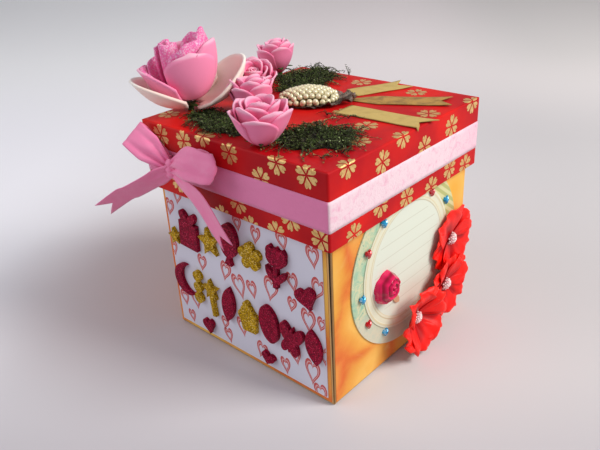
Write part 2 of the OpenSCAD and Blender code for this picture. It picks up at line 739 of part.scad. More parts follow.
// A mat with sprigs that lean outwards, set out on a sunflower spiral
module moss(m) {
    root = 0.7;
    tip = 0.35;
    golden_angle = 137.5;
    color("#2e4a26") translate([m[1][0], m[1][1], lid_top]) rotate(m[3]) {
        linear_extrude(moss_mat) oval_2d(2 * m[2][0], 2 * m[2][1], 36);
        for (k = [0:m[4] - 1]) {
            a = golden_angle * k;
            share = sqrt((k + 0.5) / m[4]) * 0.92;
            out = [cos(a) * share, sin(a) * share];
            long = moss_length * (0.75 + 0.25 * sin(77 * k));
            foot = [m[2][0] * out[0], m[2][1] * out[1], moss_mat / 2];
            hull() {
                translate(foot) cylinder(r = root, h = moss_mat / 4, $fn = 3);
                translate(foot + long * [0.6 * out[0] + 0.3 * sin(53 * k), 0.6 * out[1] + 0.3 * cos(53 * k), 0.85])
                    cylinder(r = tip, h = tip, $fn = 3);
            }
        }
    }
}

// Roses

// Stands a rose on its knob: the children are built upright and lean together
module rose_frame(r) {
    translate([r[1][0], r[1][1], knob_z + r[7]]) rotate([0, 0, r[5]]) rotate([0, r[4], 0])
        rotate([0, 0, r[6] - r[5]]) translate([0, 0, 0.85 * knob_radius]) children();
}

module rose_petals(r) {
    color("#f07fa8") rose_frame(r) translate([0, 0, sepal_foam]) {
        petal_cup(around(5), r[2], 0.84 * r[3], rose_foam, curl = 0.1 * r[2]);
        translate([0, 0, rose_foam]) rotate(40)
            petal_cup(around(4), 0.68 * r[2], r[3] - rose_foam, rose_foam, wrap = 85, curl = 0.05 * r[2], steps = 24);
    }
}

// A closed bud with a curled groove around its top
module bud(r, h) {
    difference() {
        union() {
            translate([0, 0, h - r]) sphere(r, $fn = 48);
            cylinder(r1 = r * 0.22, r2 = r, h = h - r, $fn = 48);
        }
        for (g = [[0.62, 20, 0.32], [0.3, 200, 0.16]])
            translate([0, 0, h - r * g[2]]) rotate(g[1]) rotate_extrude(angle = 300, $fn = 48)
                translate([r * g[0], 0]) square([r * 0.12, r]);
    }
}

module rose_heart(r) {
    color("#e8548c") rose_frame(r) translate([0, 0, sepal_foam + 2 * rose_foam])
        bud(0.33 * r[2], r[3] - 2 * rose_foam);
}

module large_rose_cream_petals() {
    color("#f1e2dc") rose_frame(LARGE_ROSE) translate([0, 0, sepal_foam])
        petal_cup(CREAM_PETALS, cream_radius, cream_height, large_rose_foam, spread = cream_spread,
            wrap = 60, dip = 0.85, sharp = 4, lap = 0, steps = 48, rings = 4);
}

module large_rose_pink_petals() {
    color("#ea7ba4") rose_frame(LARGE_ROSE) translate([0, 0, sepal_foam + large_rose_foam + ring_gap]) rotate(55)
        petal_cup(around(4), pink_radius, pink_height, large_rose_foam, wrap = 105, steps = 40, rings = 4);
}

module large_rose_heart() {
    color("#e23a80") rose_frame(LARGE_ROSE) translate([0, 0, sepal_foam + 2 * (large_rose_foam + ring_gap)]) {
        rotate(10) petal_cup(around(3), 0.68 * pink_radius, glitter_height, large_rose_foam, wrap = 95,
            dip = 0.18, steps = 30);
        translate([0, 0, large_rose_foam]) bud(0.36 * pink_radius, glitter_height - 2 * large_rose_foam);
    }
}

// A knob on the lid with pointed sepals under the petals
module calyx(r) {
    intersection() {
        translate([r[1][0], r[1][1], knob_z + r[7]]) sphere(knob_radius, $fn = 32);
        translate([r[1][0] - knob_radius, r[1][1] - knob_radius, lid_top]) cube(3 * knob_radius);
    }
    translate([r[1][0], r[1][1], lid_top]) cylinder(r = 0.8 * knob_radius, h = knob_z + r[7] - lid_top, $fn = 32);
    rose_frame(r) linear_extrude(sepal_foam) star_2d(2 * sepal, 2 * sepal, 5, 0.4);
}

module rose_calyxes() {
    color("#3d6b2e") for (r = concat(ROSES, [LARGE_ROSE])) calyx(r);
}

outer_sheet();
middle_sheet();
inner_sheet();
wall_papers();
heart_panel();
for (f = FOAM) foam_shape(f);
foam_little_hearts();
tag_backing();
tag_label();
red_gems();
blue_gems();
carved_rosebud();
rosebud_leaf();
for (b = BLOSSOMS) blossom(b);
for (b = BLOSSOMS) blossom_centre(b);
lid_tray();
lid_ribbon();
ribbon_bow();
for (b = BANNERS) banner(b);
mesh_frill();
pearl_plate();
pearls();
for (m = MOSS) moss(m);
large_rose_cream_petals();
large_rose_pink_petals();
large_rose_heart();
rose_calyxes();
for (r = ROSES) rose_petals(r);
for (r = ROSES) rose_heart(r);
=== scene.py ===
"""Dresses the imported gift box: papers, foam, satin, roses, blossoms, pearls and moss."""

import logging
import math
import random
from dataclasses import dataclass
from enum import Enum
from typing import Callable, Optional, Sequence, Union

import bpy
import numpy as np
from mathutils import Matrix, Vector


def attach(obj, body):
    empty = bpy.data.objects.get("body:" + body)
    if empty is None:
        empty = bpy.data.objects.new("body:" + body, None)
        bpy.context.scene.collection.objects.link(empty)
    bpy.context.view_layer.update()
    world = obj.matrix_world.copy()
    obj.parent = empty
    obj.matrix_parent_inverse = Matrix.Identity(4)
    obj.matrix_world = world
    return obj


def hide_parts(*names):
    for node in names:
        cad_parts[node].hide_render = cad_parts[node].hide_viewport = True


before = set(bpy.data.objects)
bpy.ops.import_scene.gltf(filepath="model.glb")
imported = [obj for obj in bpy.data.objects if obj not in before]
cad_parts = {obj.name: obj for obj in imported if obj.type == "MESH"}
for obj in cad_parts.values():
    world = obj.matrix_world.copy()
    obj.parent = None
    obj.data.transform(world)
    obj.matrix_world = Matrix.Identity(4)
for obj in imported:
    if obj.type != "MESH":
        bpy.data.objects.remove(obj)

LOG = logging.getLogger("gift_box")
Colour = tuple[float, float, float]
Grid = np.ndarray
Shade = Union[float, np.ndarray]

MM = 0.001
MM_PER_METRE = 1000

# Sizes of the solids that several pieces share, in millimetres
LID_TOP = 108.9
LID_HALF = 53.6
SKIRT_FOOT = 77.15
RIBBON_WIDTH = 12.7
TAG_Y, TAG_Z = 1.0, 49.0
LABEL_RADIUS = 32.3

GOLDEN_ANGLE = 137.5
FULL_TURN = 6.28  # in radians, as the random draws take it
OUT_OF_WALL = Matrix(((0, 0, 1, 0), (1, 0, 0, 0), (0, 1, 0, 0), (0, 0, 0, 1)))  # upright axis to +x


def ink(code: str) -> Colour:
    """Turns a colour as it is printed, such as "#c0182a", into the shader's own scale.

    Args:
        code: The colour as a hash sign and six hex digits.

    Returns:
        Red, green and blue, each from 0 to 1, in linear light.
    """
    parts = [int(code[k : k + 2], 16) / 255 for k in (1, 3, 5)]
    return tuple(c / 12.92 if c < 0.04045 else ((c + 0.055) / 1.055) ** 2.4 for c in parts)


# Shader layer


class Tone:
    """A shader value that takes part in Python sums; each operator adds one Math node."""

    def __init__(self, desk: "ShaderDesk", socket: bpy.types.NodeSocket) -> None:
        """Keeps the desk that owns the node and the output socket."""
        self.desk = desk
        self.socket = socket

    def _sum(self, kind: str, left: "Value", right: "Value") -> "Tone":
        """Adds the Math node for one operator."""
        return self.desk.node("ShaderNodeMath", {"operation": kind}, left, right)

    def __add__(self, other: "Value") -> "Tone":
        """Adds a value."""
        return self._sum("ADD", self, other)

    def __radd__(self, other: "Value") -> "Tone":
        """Is added to a value."""
        return self._sum("ADD", other, self)

    def __sub__(self, other: "Value") -> "Tone":
        """Takes a value away."""
        return self._sum("SUBTRACT", self, other)

    def __rsub__(self, other: "Value") -> "Tone":
        """Is taken away from a value."""
        return self._sum("SUBTRACT", other, self)

    def __mul__(self, other: "Value") -> "Tone":
        """Multiplies by a value."""
        return self._sum("MULTIPLY", self, other)

    def __rmul__(self, other: "Value") -> "Tone":
        """Is multiplied by a value."""
        return self._sum("MULTIPLY", other, self)

    def __pow__(self, other: "Value") -> "Tone":
        """Is raised to a power."""
        return self._sum("POWER", self, other)

    def __lt__(self, other: "Value") -> "Tone":
        """Is 1 where it is less than a value, and 0 elsewhere."""
        return self._sum("LESS_THAN", self, other)


Value = Union[Tone, float, int, tuple]


class ShaderDesk:
    """One material while its nodes are laid out."""

    def __init__(self, name: str) -> None:
        """Starts an empty material with its surface shader.

        Args:
            name: The material's name.
        """
        self.material = bpy.data.materials.new(name)
        self.material.use_nodes = True
        self.tree = self.material.node_tree
        self.tree.nodes.clear()
        self.output = self.tree.nodes.new("ShaderNodeOutputMaterial")
        self.surface = self.tree.nodes.new("ShaderNodeBsdfPrincipled")
        self.tree.links.new(self.surface.outputs[0], self.output.inputs[0])
        self._place: Optional[Tone] = None

    def feed(self, socket: bpy.types.NodeSocket, value: Value) -> None:
        """Links or sets one input socket.

        Args:
            socket: The input.
            value: A Tone to link, or a number or tuple to set.
        """
        if isinstance(value, Tone):
            self.tree.links.new(value.socket, socket)
        elif isinstance(value, tuple) and len(value) == 3 and socket.type == "RGBA":
            socket.default_value = (*value, 1.0)
        else:
            socket.default_value = value

    def node(self, kind: str, settings: Optional[dict] = None, *values: Value, out: int = 0, **named: Value) -> Tone:
        """Adds any node.

        Args:
            kind: Blender's name of the node type.
            settings: Its own settings, set before its sockets; "stops" is a colour ramp's list.
            values: Values or links of its first sockets, in order.
            out: Which output is wanted.
            named: Values or links of sockets by name, with _ for a space.

        Returns:
            The chosen output.
        """
        made = self.tree.nodes.new(kind)
        for key, value in (settings or {}).items():
            if key == "stops":
                ramp = made.color_ramp
                while len(ramp.elements) < len(value):
                    ramp.elements.new(0.5)
                for stop, (at, colour) in zip(ramp.elements, value):
                    stop.position, stop.color = at, (*colour, 1.0)
            else:
                setattr(made, key, value)
        for socket, value in zip(made.inputs, values):
            self.feed(socket, value)
        for key, value in named.items():
            self.feed(made.inputs[key.replace("_", " ")], value)
        return Tone(self, made.outputs[out])

    @property
    def place(self) -> Tone:
        """The point on the object, in metres."""
        if self._place is None:
            self._place = self.node("ShaderNodeTexCoord", out=3)
        return self._place

    def axes(self) -> tuple[Tone, Tone, Tone]:
        """The point's x, y and z, in millimetres."""
        split = self.node("ShaderNodeSeparateXYZ", None, self.place)
        outs = split.socket.node.outputs
        return tuple(Tone(self, outs[k]) * MM_PER_METRE for k in range(3))

    def noise(self, per_mm: float, detail: float = 2, rough: float = 0.5, twist: float = 0) -> Tone:
        """Soft noise from 0 to 1 with so many waves a millimetre."""
        return self.node(
            "ShaderNodeTexNoise", None, Vector=self.place, Scale=per_mm * MM_PER_METRE, Detail=detail,
            Roughness=rough, Distortion=twist,
        )

    def cells(self, per_mm: float, feature: str = "F1", out: int = 0, at: Optional[Tone] = None) -> Tone:
        """A cell pattern with so many cells a millimetre."""
        return self.node(
            "ShaderNodeTexVoronoi", {"feature": feature}, Vector=at or self.place, Scale=per_mm * MM_PER_METRE, out=out
        )

    def flakes(self, per_mm: float) -> Tone:
        """One chance value for each cell of a pattern with so many cells a millimetre."""
        return self.node("ShaderNodeSeparateColor", None, self.cells(per_mm, out=1))

    def shade(self) -> Tone:
        """The shade value that the piece keeps at its vertices."""
        return self.node("ShaderNodeAttribute", {"attribute_name": "shade"}, out=2)

    def ramp(self, value: Tone, *stops: tuple[float, Colour]) -> Tone:
        """Turns a value into a colour through stops."""
        return self.node("ShaderNodeValToRGB", {"stops": stops}, value)

    def step(self, value: Tone, low: float, high: float) -> Tone:
        """Rises smoothly from 0 at low to 1 at high."""
        return self.node("ShaderNodeMapRange", {"interpolation_type": "SMOOTHSTEP"}, value, low, high, 0.0, 1.0)

    def mix(self, share: Value, first: Value, second: Value, kind: str = "MIX") -> Tone:
        """Mixes two colours.

        Args:
            share: How much of the second colour shows, from 0 to 1.
            first: The colour below.
            second: The colour above.
            kind: Blender's name of the way they blend.

        Returns:
            The mixed colour.
        """
        made = self.tree.nodes.new("ShaderNodeMix")
        made.data_type, made.blend_type = "RGBA", kind
        for slot, value in ((0, share), (6, first), (7, second)):
            self.feed(made.inputs[slot], value)
        return Tone(self, made.outputs[2])

    def warp(self, amount_mm: float, per_mm: float) -> Tone:
        """The point on the object, pushed about by soft noise."""
        push = self.node(
            "ShaderNodeTexNoise", None, out=1, Vector=self.place, Scale=per_mm * MM_PER_METRE, Detail=1.0
        )
        return self.node(
            "ShaderNodeVectorMath", {"operation": "MULTIPLY_ADD"}, push, (amount_mm * MM,) * 3, self.place
        )

    def bump(self, height: Tone, depth_mm: float, strength: float = 1) -> Tone:
        """A surface relief of so many millimetres."""
        return self.node("ShaderNodeBump", None, Height=height, Distance=depth_mm * MM, Strength=strength)

    def wear(self, **sockets: Value) -> bpy.types.Material:
        """Sets the surface shader's sockets and gives back the material.

        Args:
            sockets: Values or links by name, with _ for a space.

        Returns:
            The finished material.
        """
        sockets.setdefault("Specular_IOR_Level", 0.25)
        for key, value in sockets.items():
            self.feed(self.surface.inputs[key.replace("_", " ")], value)
        return self.material


# Finishes


@dataclass(frozen=True)
class Finish:
    """A surface finish; each kind paints itself once."""

    name: str

    def paint(self, desk: ShaderDesk) -> bpy.types.Material:
        """Lays out the nodes.

        Args:
            desk: The empty material.

        Returns:
            The finished material.
        """
        raise NotImplementedError

    def material(self) -> bpy.types.Material:
        """The material of this finish, made at its first use."""
        label = f"dressed_{self.name}"
        found = bpy.data.materials.get(label)
        return found if found else self.paint(ShaderDesk(label))


@dataclass(frozen=True)
class Card(Finish):
    """Plain card with a faint fibre."""

    tint: Colour = ink("#d9bd92")
    shine: float = 0.75

    def paint(self, desk: ShaderDesk) -> bpy.types.Material:
        """Mottles the card and gives it a fibre relief."""
        fibre = desk.noise(1.2, 4, 0.6)
        cloud = desk.noise(0.05, 2)
        base = desk.mix(fibre * 0.35 + cloud * 0.3, self.tint, tuple(c * 0.72 for c in self.tint))
        return desk.wear(Base_Color=base, Roughness=self.shine, Normal=desk.bump(fibre, 0.03))


@dataclass(frozen=True)
class LidPaper(Finish):
    """Smooth red paper with a soft sheen."""

    deep: Colour = ink("#b20a16")
    bright: Colour = ink("#dc1a12")
    # The deeper crimson painted on the front skirt as shade
    shaded: Colour = ink("#9a0420")

    def paint(self, desk: ShaderDesk) -> bpy.types.Material:
        """Lets the red drift a little, scuffs it faintly and paints shade over the front skirt."""
        cloud = desk.noise(0.035, 3)
        fibre = desk.noise(1.6, 3, 0.6)
        scuff = desk.step(desk.noise(0.12, 6, 0.7), 0.62, 0.78)
        base = desk.mix(desk.step(cloud, 0.3, 0.7), self.deep, self.bright)
        base = desk.mix(scuff * 0.06, base, ink("#d8404a"))
        _, y, _ = desk.axes()
        # Painted shade: the front skirt, turned away from the key lamp, is darkened to a deeper crimson
        front = 1 - desk.step(y, -LID_HALF - 0.7, -LID_HALF + 0.2)
        base = desk.mix(front * 0.85, base, self.shaded)
        return desk.wear(
            Base_Color=base, Roughness=0.42 + 0.12 * fibre + 0.15 * scuff, Normal=desk.bump(fibre, 0.02),
            Specular_IOR_Level=0.12, Coat_Weight=0.02, Coat_Roughness=0.3,
        )


@dataclass(frozen=True)
class Foil(Finish):
    """Gold foil print, worn thin in specks."""

    def paint(self, desk: ShaderDesk) -> bpy.types.Material:
        """Mottles the gold and breaks its shine."""
        speck = desk.noise(0.9, 4, 0.65)
        drift = desk.noise(0.08, 2)
        base = desk.mix(desk.step(speck, 0.35, 0.7), ink("#f0c77e"), ink("#c8964a"))
        base = desk.mix(drift * 0.35, base, ink("#f8dfa6"))
        return desk.wear(Base_Color=base, Metallic=0.68, Roughness=0.28 + 0.2 * speck, Normal=desk.bump(speck, 0.02))


@dataclass(frozen=True)
class Watercolour(Finish):
    """Loose orange and yellow washes that read as large petals with red-orange veins."""

    per_mm: float = 0.031

    def paint(self, desk: ShaderDesk) -> bpy.types.Material:
        """Lays large warped cells and their loose veins over soft clouds."""
        at = desk.warp(26, 0.035)
        petals = desk.cells(self.per_mm, "DISTANCE_TO_EDGE", at=at)
        inner = desk.cells(self.per_mm, "F1", at=at)
        wash = desk.noise(0.045, 5, 0.6, 0.6)
        grain = desk.noise(0.5, 4, 0.65)
        base = desk.ramp(
            inner + 0.35 * wash - 0.15, (0.1, ink("#f2b246")), (0.32, ink("#f6bf5e")), (0.5, ink("#eea646")),
            (0.72, ink("#e68238")),
        )
        tint = desk.cells(self.per_mm, "F1", out=1, at=at)
        base = desk.mix(0.16, base, tint, "SOFT_LIGHT")
        vein = 1 - desk.step(petals + 0.08 * grain, 0.03, 0.2)
        base = desk.mix(vein * desk.step(wash + 0.3 * grain, 0.52, 0.78) * 0.66, base, ink("#e0602a"))
        base = desk.mix(desk.step(wash, 0.58, 0.75) * 0.45, base, ink("#f4d384"))
        base = desk.mix(grain * 0.18, base, ink("#c9702e"))
        return desk.wear(Base_Color=base, Roughness=0.62, Normal=desk.bump(grain, 0.03))


@dataclass(frozen=True)
class WhitePaper(Finish):
    """Bright white print paper."""

    def paint(self, desk: ShaderDesk) -> bpy.types.Material:
        """Breaks the white by a cool cloud and a fibre."""
        fibre = desk.noise(1.5, 3, 0.6)
        cloud = desk.noise(0.04, 2)
        base = desk.mix(0.3 * cloud + 0.12 * fibre, ink("#e2e0ec"), ink("#c9c6d6"))
        return desk.wear(Base_Color=base, Roughness=0.55, Normal=desk.bump(fibre, 0.02))


@dataclass(frozen=True)
class PrintInk(Finish):
    """A printed line whose colour runs a little dry."""

    tint: Colour = ink("#c9504e")

    def paint(self, desk: ShaderDesk) -> bpy.types.Material:
        """Lightens the ink in dry streaks."""
        dry = desk.step(desk.noise(0.7, 4, 0.7), 0.45, 0.75)
        return desk.wear(Base_Color=desk.mix(dry * 0.35, self.tint, ink("#e6b4b2")), Roughness=0.6)


@dataclass(frozen=True)
class Glitter(Finish):
    """Foam sheet with glitter flakes pressed into it."""

    dark: Colour = ink("#680022")
    bright: Colour = ink("#ab0634")
    # The lighter colour painted on flashing flakes as a glint
    flake: Colour = ink("#e03c62")
    per_mm: float = 2.6

    def paint(self, desk: ShaderDesk) -> bpy.types.Material:
        """Gives each flake a tone, a tilt and a chance to flash; flashing flakes are shinier and painted lighter as a
        glint.
        """
        tone = desk.flakes(self.per_mm)
        spread = desk.noise(0.35, 3)
        base = desk.mix(desk.step(tone + 0.5 * spread - 0.25, 0.15, 0.85), self.dark, self.bright)
        # Flashing flakes: partly a shinier, more metallic flake, partly a painted glint
        flash = desk.step(tone, 0.86, 0.97)
        base = desk.mix(flash * 0.7, base, self.flake)
        relief = desk.bump(tone + desk.cells(self.per_mm) * 0.5, 0.12, 0.8)
        return desk.wear(
            Base_Color=base, Metallic=0.1 + 0.4 * flash, Roughness=0.55 - 0.25 * flash, Specular_IOR_Level=0.12,
            Normal=relief,
        )


@dataclass(frozen=True)
class PetalFoam(Finish):
    """Soft craft foam, with painted shade towards each petal's foot, deep in the flower, and paler along the cut rims,
    partly a painted highlight.
    """

    deep: Colour = ink("#d0105c")
    face: Colour = ink("#f685ae")
    rim: Colour = ink("#fcc0d6")
    from_rim: float = 0.9
    root_shade_until: float = 0.7

    def paint(self, desk: ShaderDesk) -> bpy.types.Material:
        """Paints the petal from shade at its foot to a pale rim, which is partly a painted highlight."""
        along = desk.shade()
        pore = desk.noise(2.2, 3, 0.6)
        cloud = desk.noise(0.16, 2)
        # Painted shade: a deeper colour towards the petal's foot, deep inside the flower
        base = desk.mix(desk.step(along + 0.12 * cloud, 0.05, self.root_shade_until), self.deep, self.face)
        # Pale cut rim: partly the foam's own edge, partly a painted highlight
        base = desk.mix(desk.step(along, self.from_rim, 0.99) * 0.8, base, self.rim)
        return desk.wear(
            Base_Color=base, Roughness=0.72, Normal=desk.bump(pore, 0.05), Sheen_Weight=0.12, Sheen_Roughness=0.5
        )


@dataclass(frozen=True)
class FrostedFoam(PetalFoam):
    """Petal foam dusted with clear glitter."""

    def paint(self, desk: ShaderDesk) -> bpy.types.Material:
        """Adds bright grains over the petal's own shading."""
        along = desk.shade()
        tone = desk.flakes(2.0)
        patch = desk.noise(0.3, 3)
        # Painted shade: a deeper colour towards the petal's foot
        base = desk.mix(desk.step(along + 0.2 * patch, 0.1, self.root_shade_until), self.deep, self.face)
        frost = desk.step(tone + 0.35 * patch, 0.68, 0.95) * desk.step(along, 0.25, 0.8)
        base = desk.mix(frost * 0.75, base, self.rim)
        relief = desk.bump(tone + 0.6 * patch, 0.25, 0.8)
        return desk.wear(Base_Color=base, Roughness=0.6 - 0.3 * frost, Normal=relief)


@dataclass(frozen=True)
class Satin(Finish):
    """Woven satin ribbon with a run of fine cross threads."""

    tint: Colour = ink("#ef86b2")
    pale: Colour = ink("#f9bcd3")
    # How strongly a painted sheen lightens the creases
    crease_sheen: float = 0.25

    def paint(self, desk: ShaderDesk) -> bpy.types.Material:
        """Drifts the pink, paints a pale sheen along soft creases, lays the weave and paints shade into the loops'
        throats.
        """
        thread = desk.noise(3.5, 1)
        crease = desk.noise(0.22, 4, 0.6, 0.8)
        cloud = desk.noise(0.09, 3)
        # Painted sheen: pale along the creases; the cloud drift is the ribbon's own tone
        base = desk.mix(desk.step(crease, 0.4, 0.75) * self.crease_sheen + 0.2 * cloud, self.tint, self.pale)
        base = desk.mix(0.12 * thread, base, tuple(c * 0.7 for c in self.tint))
        # Painted shade: a deeper pink near the knot, in the loops' throats
        base = desk.mix((1 - desk.step(desk.shade() + 0.15 * crease, 0.08, 0.45)) * 0.6, base, ink("#dd3d86"))
        return desk.wear(
            Base_Color=base, Roughness=0.34 + 0.15 * thread, Normal=desk.bump(crease + 0.08 * thread, 0.25, 0.6),
            Sheen_Weight=0.35, Sheen_Roughness=0.35,
        )


@dataclass(frozen=True)
class CreasedSatin(Satin):
    """Band satin: even pink in front; on the right a painted sheen makes it nearly white between fine creases."""

    def paint(self, desk: ShaderDesk) -> bpy.types.Material:
        """Paints a pale sheen over the right stretch, broken by patches and fine creases."""
        x, y, _ = desk.axes()
        # Painted sheen: the right skirt, which faces the key lamp, goes nearly white, less so in patches and towards
        # the back
        right = desk.step(x, LID_HALF - 0.6, LID_HALF + 0.1)
        thread = desk.noise(3.5, 1)
        crease = desk.noise(0.28, 5, 0.7, 2.4)
        cloud = desk.noise(0.22, 5, 0.65, 0.9)
        patch = desk.step(cloud, 0.5, 0.72) * 0.5 + desk.step(y, 24.0, 54.0) * 0.3
        base = desk.mix(right * (1 - patch), self.tint, self.pale)
        base = desk.mix(desk.step(crease, 0.53, 0.66) * (0.12 + 0.3 * right), base, ink("#d9799f"))
        base = desk.mix(right * 0.3 * (1 - patch), base, ink("#f4e0e4"))
        return desk.wear(
            Base_Color=base, Roughness=0.36 + 0.15 * thread, Normal=desk.bump(crease + 0.08 * thread, 0.3, 0.7),
            Sheen_Weight=0.3, Sheen_Roughness=0.35,
        )


@dataclass(frozen=True)
class StiffCloth(Finish):
    """Glossy stiffened cloth of the red blossoms."""

    def paint(self, desk: ShaderDesk) -> bpy.types.Material:
        """Paints shade into the throat and the folds, veins the petal and paints a highlight along the rim."""
        along = desk.shade()
        weave = desk.noise(3.0, 2)
        vein = desk.noise(0.5, 3, 0.6, 1.0)
        # Painted shade: darker red towards the throat and in the folds, where the shade value is low
        base = desk.mix(desk.step(along, 0.0, 0.5), ink("#b80008"), ink("#fc180c"))
        # Painted highlight: a brighter red along the rim
        base = desk.mix(desk.step(along, 0.75, 1.0) * 0.3, base, ink("#ff3c26"))
        base = desk.mix(desk.step(vein, 0.5, 0.8) * 0.3, base, ink("#b8060c"))
        return desk.wear(
            Base_Color=base, Roughness=0.34 + 0.15 * weave, Normal=desk.bump(vein + 0.2 * weave, 0.12, 0.6),
            Specular_IOR_Level=0.3,
        )


@dataclass(frozen=True)
class TagPaper(Finish):
    """Pastel paper: mint and beige blots on one side and pale olive stripes on the other."""

    def paint(self, desk: ShaderDesk) -> bpy.types.Material:
        """Splits the ring between blots and stripes."""
        _, y, z = desk.axes()
        blot = desk.noise(0.16, 4, 0.6, 0.5)
        fleck = desk.cells(0.45)
        base = desk.ramp(
            blot, (0.32, ink("#86bda4")), (0.46, ink("#b4cdab")), (0.56, ink("#dbd6ac")), (0.68, ink("#9cc2a6"))
        )
        base = desk.mix((1 - desk.step(fleck, 0.1, 0.25)) * 0.5, base, ink("#5f9c92"))
        stripe = desk.node("ShaderNodeMath", {"operation": "PINGPONG"}, (z * 0.8 + y * 0.6), 1.6)
        lines = desk.mix(desk.step(stripe, 0.5, 1.1), ink("#b9bb78"), ink("#d9d6a0"))
        base = desk.mix(desk.step(y + 4 * blot, TAG_Y + 6, TAG_Y + 12), base, lines)
        low = 1 - desk.step(z + 6 * blot, TAG_Z - 16, TAG_Z - 6)
        base = desk.mix(low * 0.75, base, ink("#d3cdb8"))
        return desk.wear(Base_Color=base, Roughness=0.6, Normal=desk.bump(blot, 0.02))


@dataclass(frozen=True)
class LabelCard(Finish):
    """Ivory label with a cream rim, printed rings and faint ruled lines.

    Each printed ring has its distance from the rim, half its width, its strength and its colour.
    """

    rule: float = 6.2
    rings: tuple[tuple[float, float, float, str], ...] = (
        (1.2, 0.5, 0.6, "#d9c793"), (4.2, 0.4, 0.5, "#d2bd88"), (5.4, 0.35, 0.45, "#c8b486"),
    )

    def paint(self, desk: ShaderDesk) -> bpy.types.Material:
        """Draws rings by the distance from the middle and rules by the height."""
        _, y, z = desk.axes()
        away = ((y - TAG_Y) ** 2.0 + (z - TAG_Z) ** 2.0) ** 0.5
        fibre = desk.noise(1.4, 3, 0.6)

        def ring(inset: float, half: float) -> Tone:
            """A line around the middle, so far inside the rim."""
            gap = desk.node("ShaderNodeMath", {"operation": "ABSOLUTE"}, away - (LABEL_RADIUS - inset))
            return 1 - desk.step(gap, half * 0.4, half)

        base = desk.mix(0.15 * fibre, ink("#e0e6d6"), ink("#ccd2bc"))
        base = desk.mix(desk.step(away, LABEL_RADIUS - 5.6, LABEL_RADIUS - 5.2) * 0.5, base, ink("#e6deba"))
        for inset, half, strength, code in self.rings:
            base = desk.mix(ring(inset, half) * strength, base, ink(code))
        row = desk.node("ShaderNodeMath", {"operation": "PINGPONG"}, z - 0.6, self.rule / 2)
        line = (1 - desk.step(row, 0.1, 0.35)) * (away < LABEL_RADIUS - 7.5)
        base = desk.mix(line * 0.5, base, ink("#c3c3ad"))
        edge = ring(4.8, 1.0) + ring(1.2, 0.7)
        return desk.wear(Base_Color=base, Roughness=0.55, Normal=desk.bump(edge + 0.2 * fibre, 0.12))


@dataclass(frozen=True)
class Gem(Finish):
    """A cut glassy stone with a silvered back."""

    tint: Colour = ink("#1f9cd0")
    # How strongly the painted glint shows
    sparkle: float = 0.45

    def paint(self, desk: ShaderDesk) -> bpy.types.Material:
        """Paints single facets pale, as a glint."""
        facet = desk.flakes(0.9)
        # Painted glint: single facets turn pale
        base = desk.mix(desk.step(facet, 0.6, 0.95) * self.sparkle, self.tint, ink("#dff3fa"))
        return desk.wear(Base_Color=base, Metallic=0.2, Roughness=0.12, Coat_Weight=0.6, Coat_Roughness=0.05)


@dataclass(frozen=True)
class Moulded(Finish):
    """Glossy cast resin."""

    deep: Colour = ink("#95032e")
    face: Colour = ink("#e21059")
    shine: float = 0.16

    def paint(self, desk: ShaderDesk) -> bpy.types.Material:
        """Darkens where the shade value is low: painted shade in the rosebud's grooves, and a random tone on the
        beads.
        """
        along = desk.shade()
        cloud = desk.noise(0.3, 2)
        # Painted shade in the rosebud's grooves; the beads carry a random shade value, which is their own tone
        base = desk.mix(desk.step(along + 0.15 * cloud, 0.1, 0.9), self.deep, self.face)
        return desk.wear(
            Base_Color=base, Roughness=self.shine + 0.1 * cloud, Coat_Weight=0.35, Coat_Roughness=0.08,
            Normal=desk.bump(cloud, 0.1),
        )


@dataclass(frozen=True)
class Pearl(Finish):
    """Ivory pearl with painted warm shade on its underside and a painted highlight on its top."""

    def paint(self, desk: ShaderDesk) -> bpy.types.Material:
        """Paints warm shade towards the pearl's foot and a highlight on its top."""
        up = desk.shade()
        cloud = desk.noise(0.5, 2)
        # Painted shade: darker and warmer towards the foot
        base = desk.mix(desk.step(up + 0.1 * cloud, 0.05, 0.6), ink("#8a7c50"), ink("#e2d8b0"))
        # Painted highlight: paler near the top
        base = desk.mix(desk.step(up, 0.6, 1.0) * 0.45, base, ink("#f4ecca"))
        return desk.wear(Base_Color=base, Roughness=0.2, Coat_Weight=0.8, Coat_Roughness=0.06, Metallic=0.1)


@dataclass(frozen=True)
class MossGreen(Finish):
    """Dry moss, nearly black below and green at the tips: its own browns and greens, with painted shade deep in the
    clump and painted light on the tips.
    """

    def paint(self, desk: ShaderDesk) -> bpy.types.Material:
        """Mixes browns and greens by height and chance, painting shade low in the clump and light at the tips."""
        up = desk.shade()
        speck = desk.noise(0.8, 3, 0.7)
        # Painted shade and light: near black low in the clump, pale green at the tips, broken by a random speck
        base = desk.ramp(
            up * 0.75 + 0.35 * speck, (0.1, ink("#160d06")), (0.38, ink("#25200c")), (0.58, ink("#33401a")),
            (0.8, ink("#5c7030")), (1.0, ink("#a0ad78")),
        )
        return desk.wear(Base_Color=base, Roughness=0.85, Sheen_Weight=0.1)


@dataclass(frozen=True)
class Kraft(Finish):
    """Hand-torn tone of kraft paper with darker mottling."""

    tint: Colour = ink("#c2a65e")
    blot: Colour = ink("#8f7132")
    blotting: float = 0.35

    def paint(self, desk: ShaderDesk) -> bpy.types.Material:
        """Darkens the strip's edges and scatters blots."""
        edge = desk.shade()
        grain = desk.noise(0.9, 4, 0.65)
        cloud = desk.noise(0.18, 5, 0.65, 0.4)
        base = desk.mix(desk.step(cloud, 0.42, 0.7) * self.blotting, self.tint, self.blot)
        base = desk.mix(grain * 0.25, base, ink("#e7cf95"))
        base = desk.mix(desk.step(edge, 0.8, 1.0) * 0.35, base, self.blot)
        return desk.wear(Base_Color=base, Roughness=0.7, Normal=desk.bump(grain, 0.04))


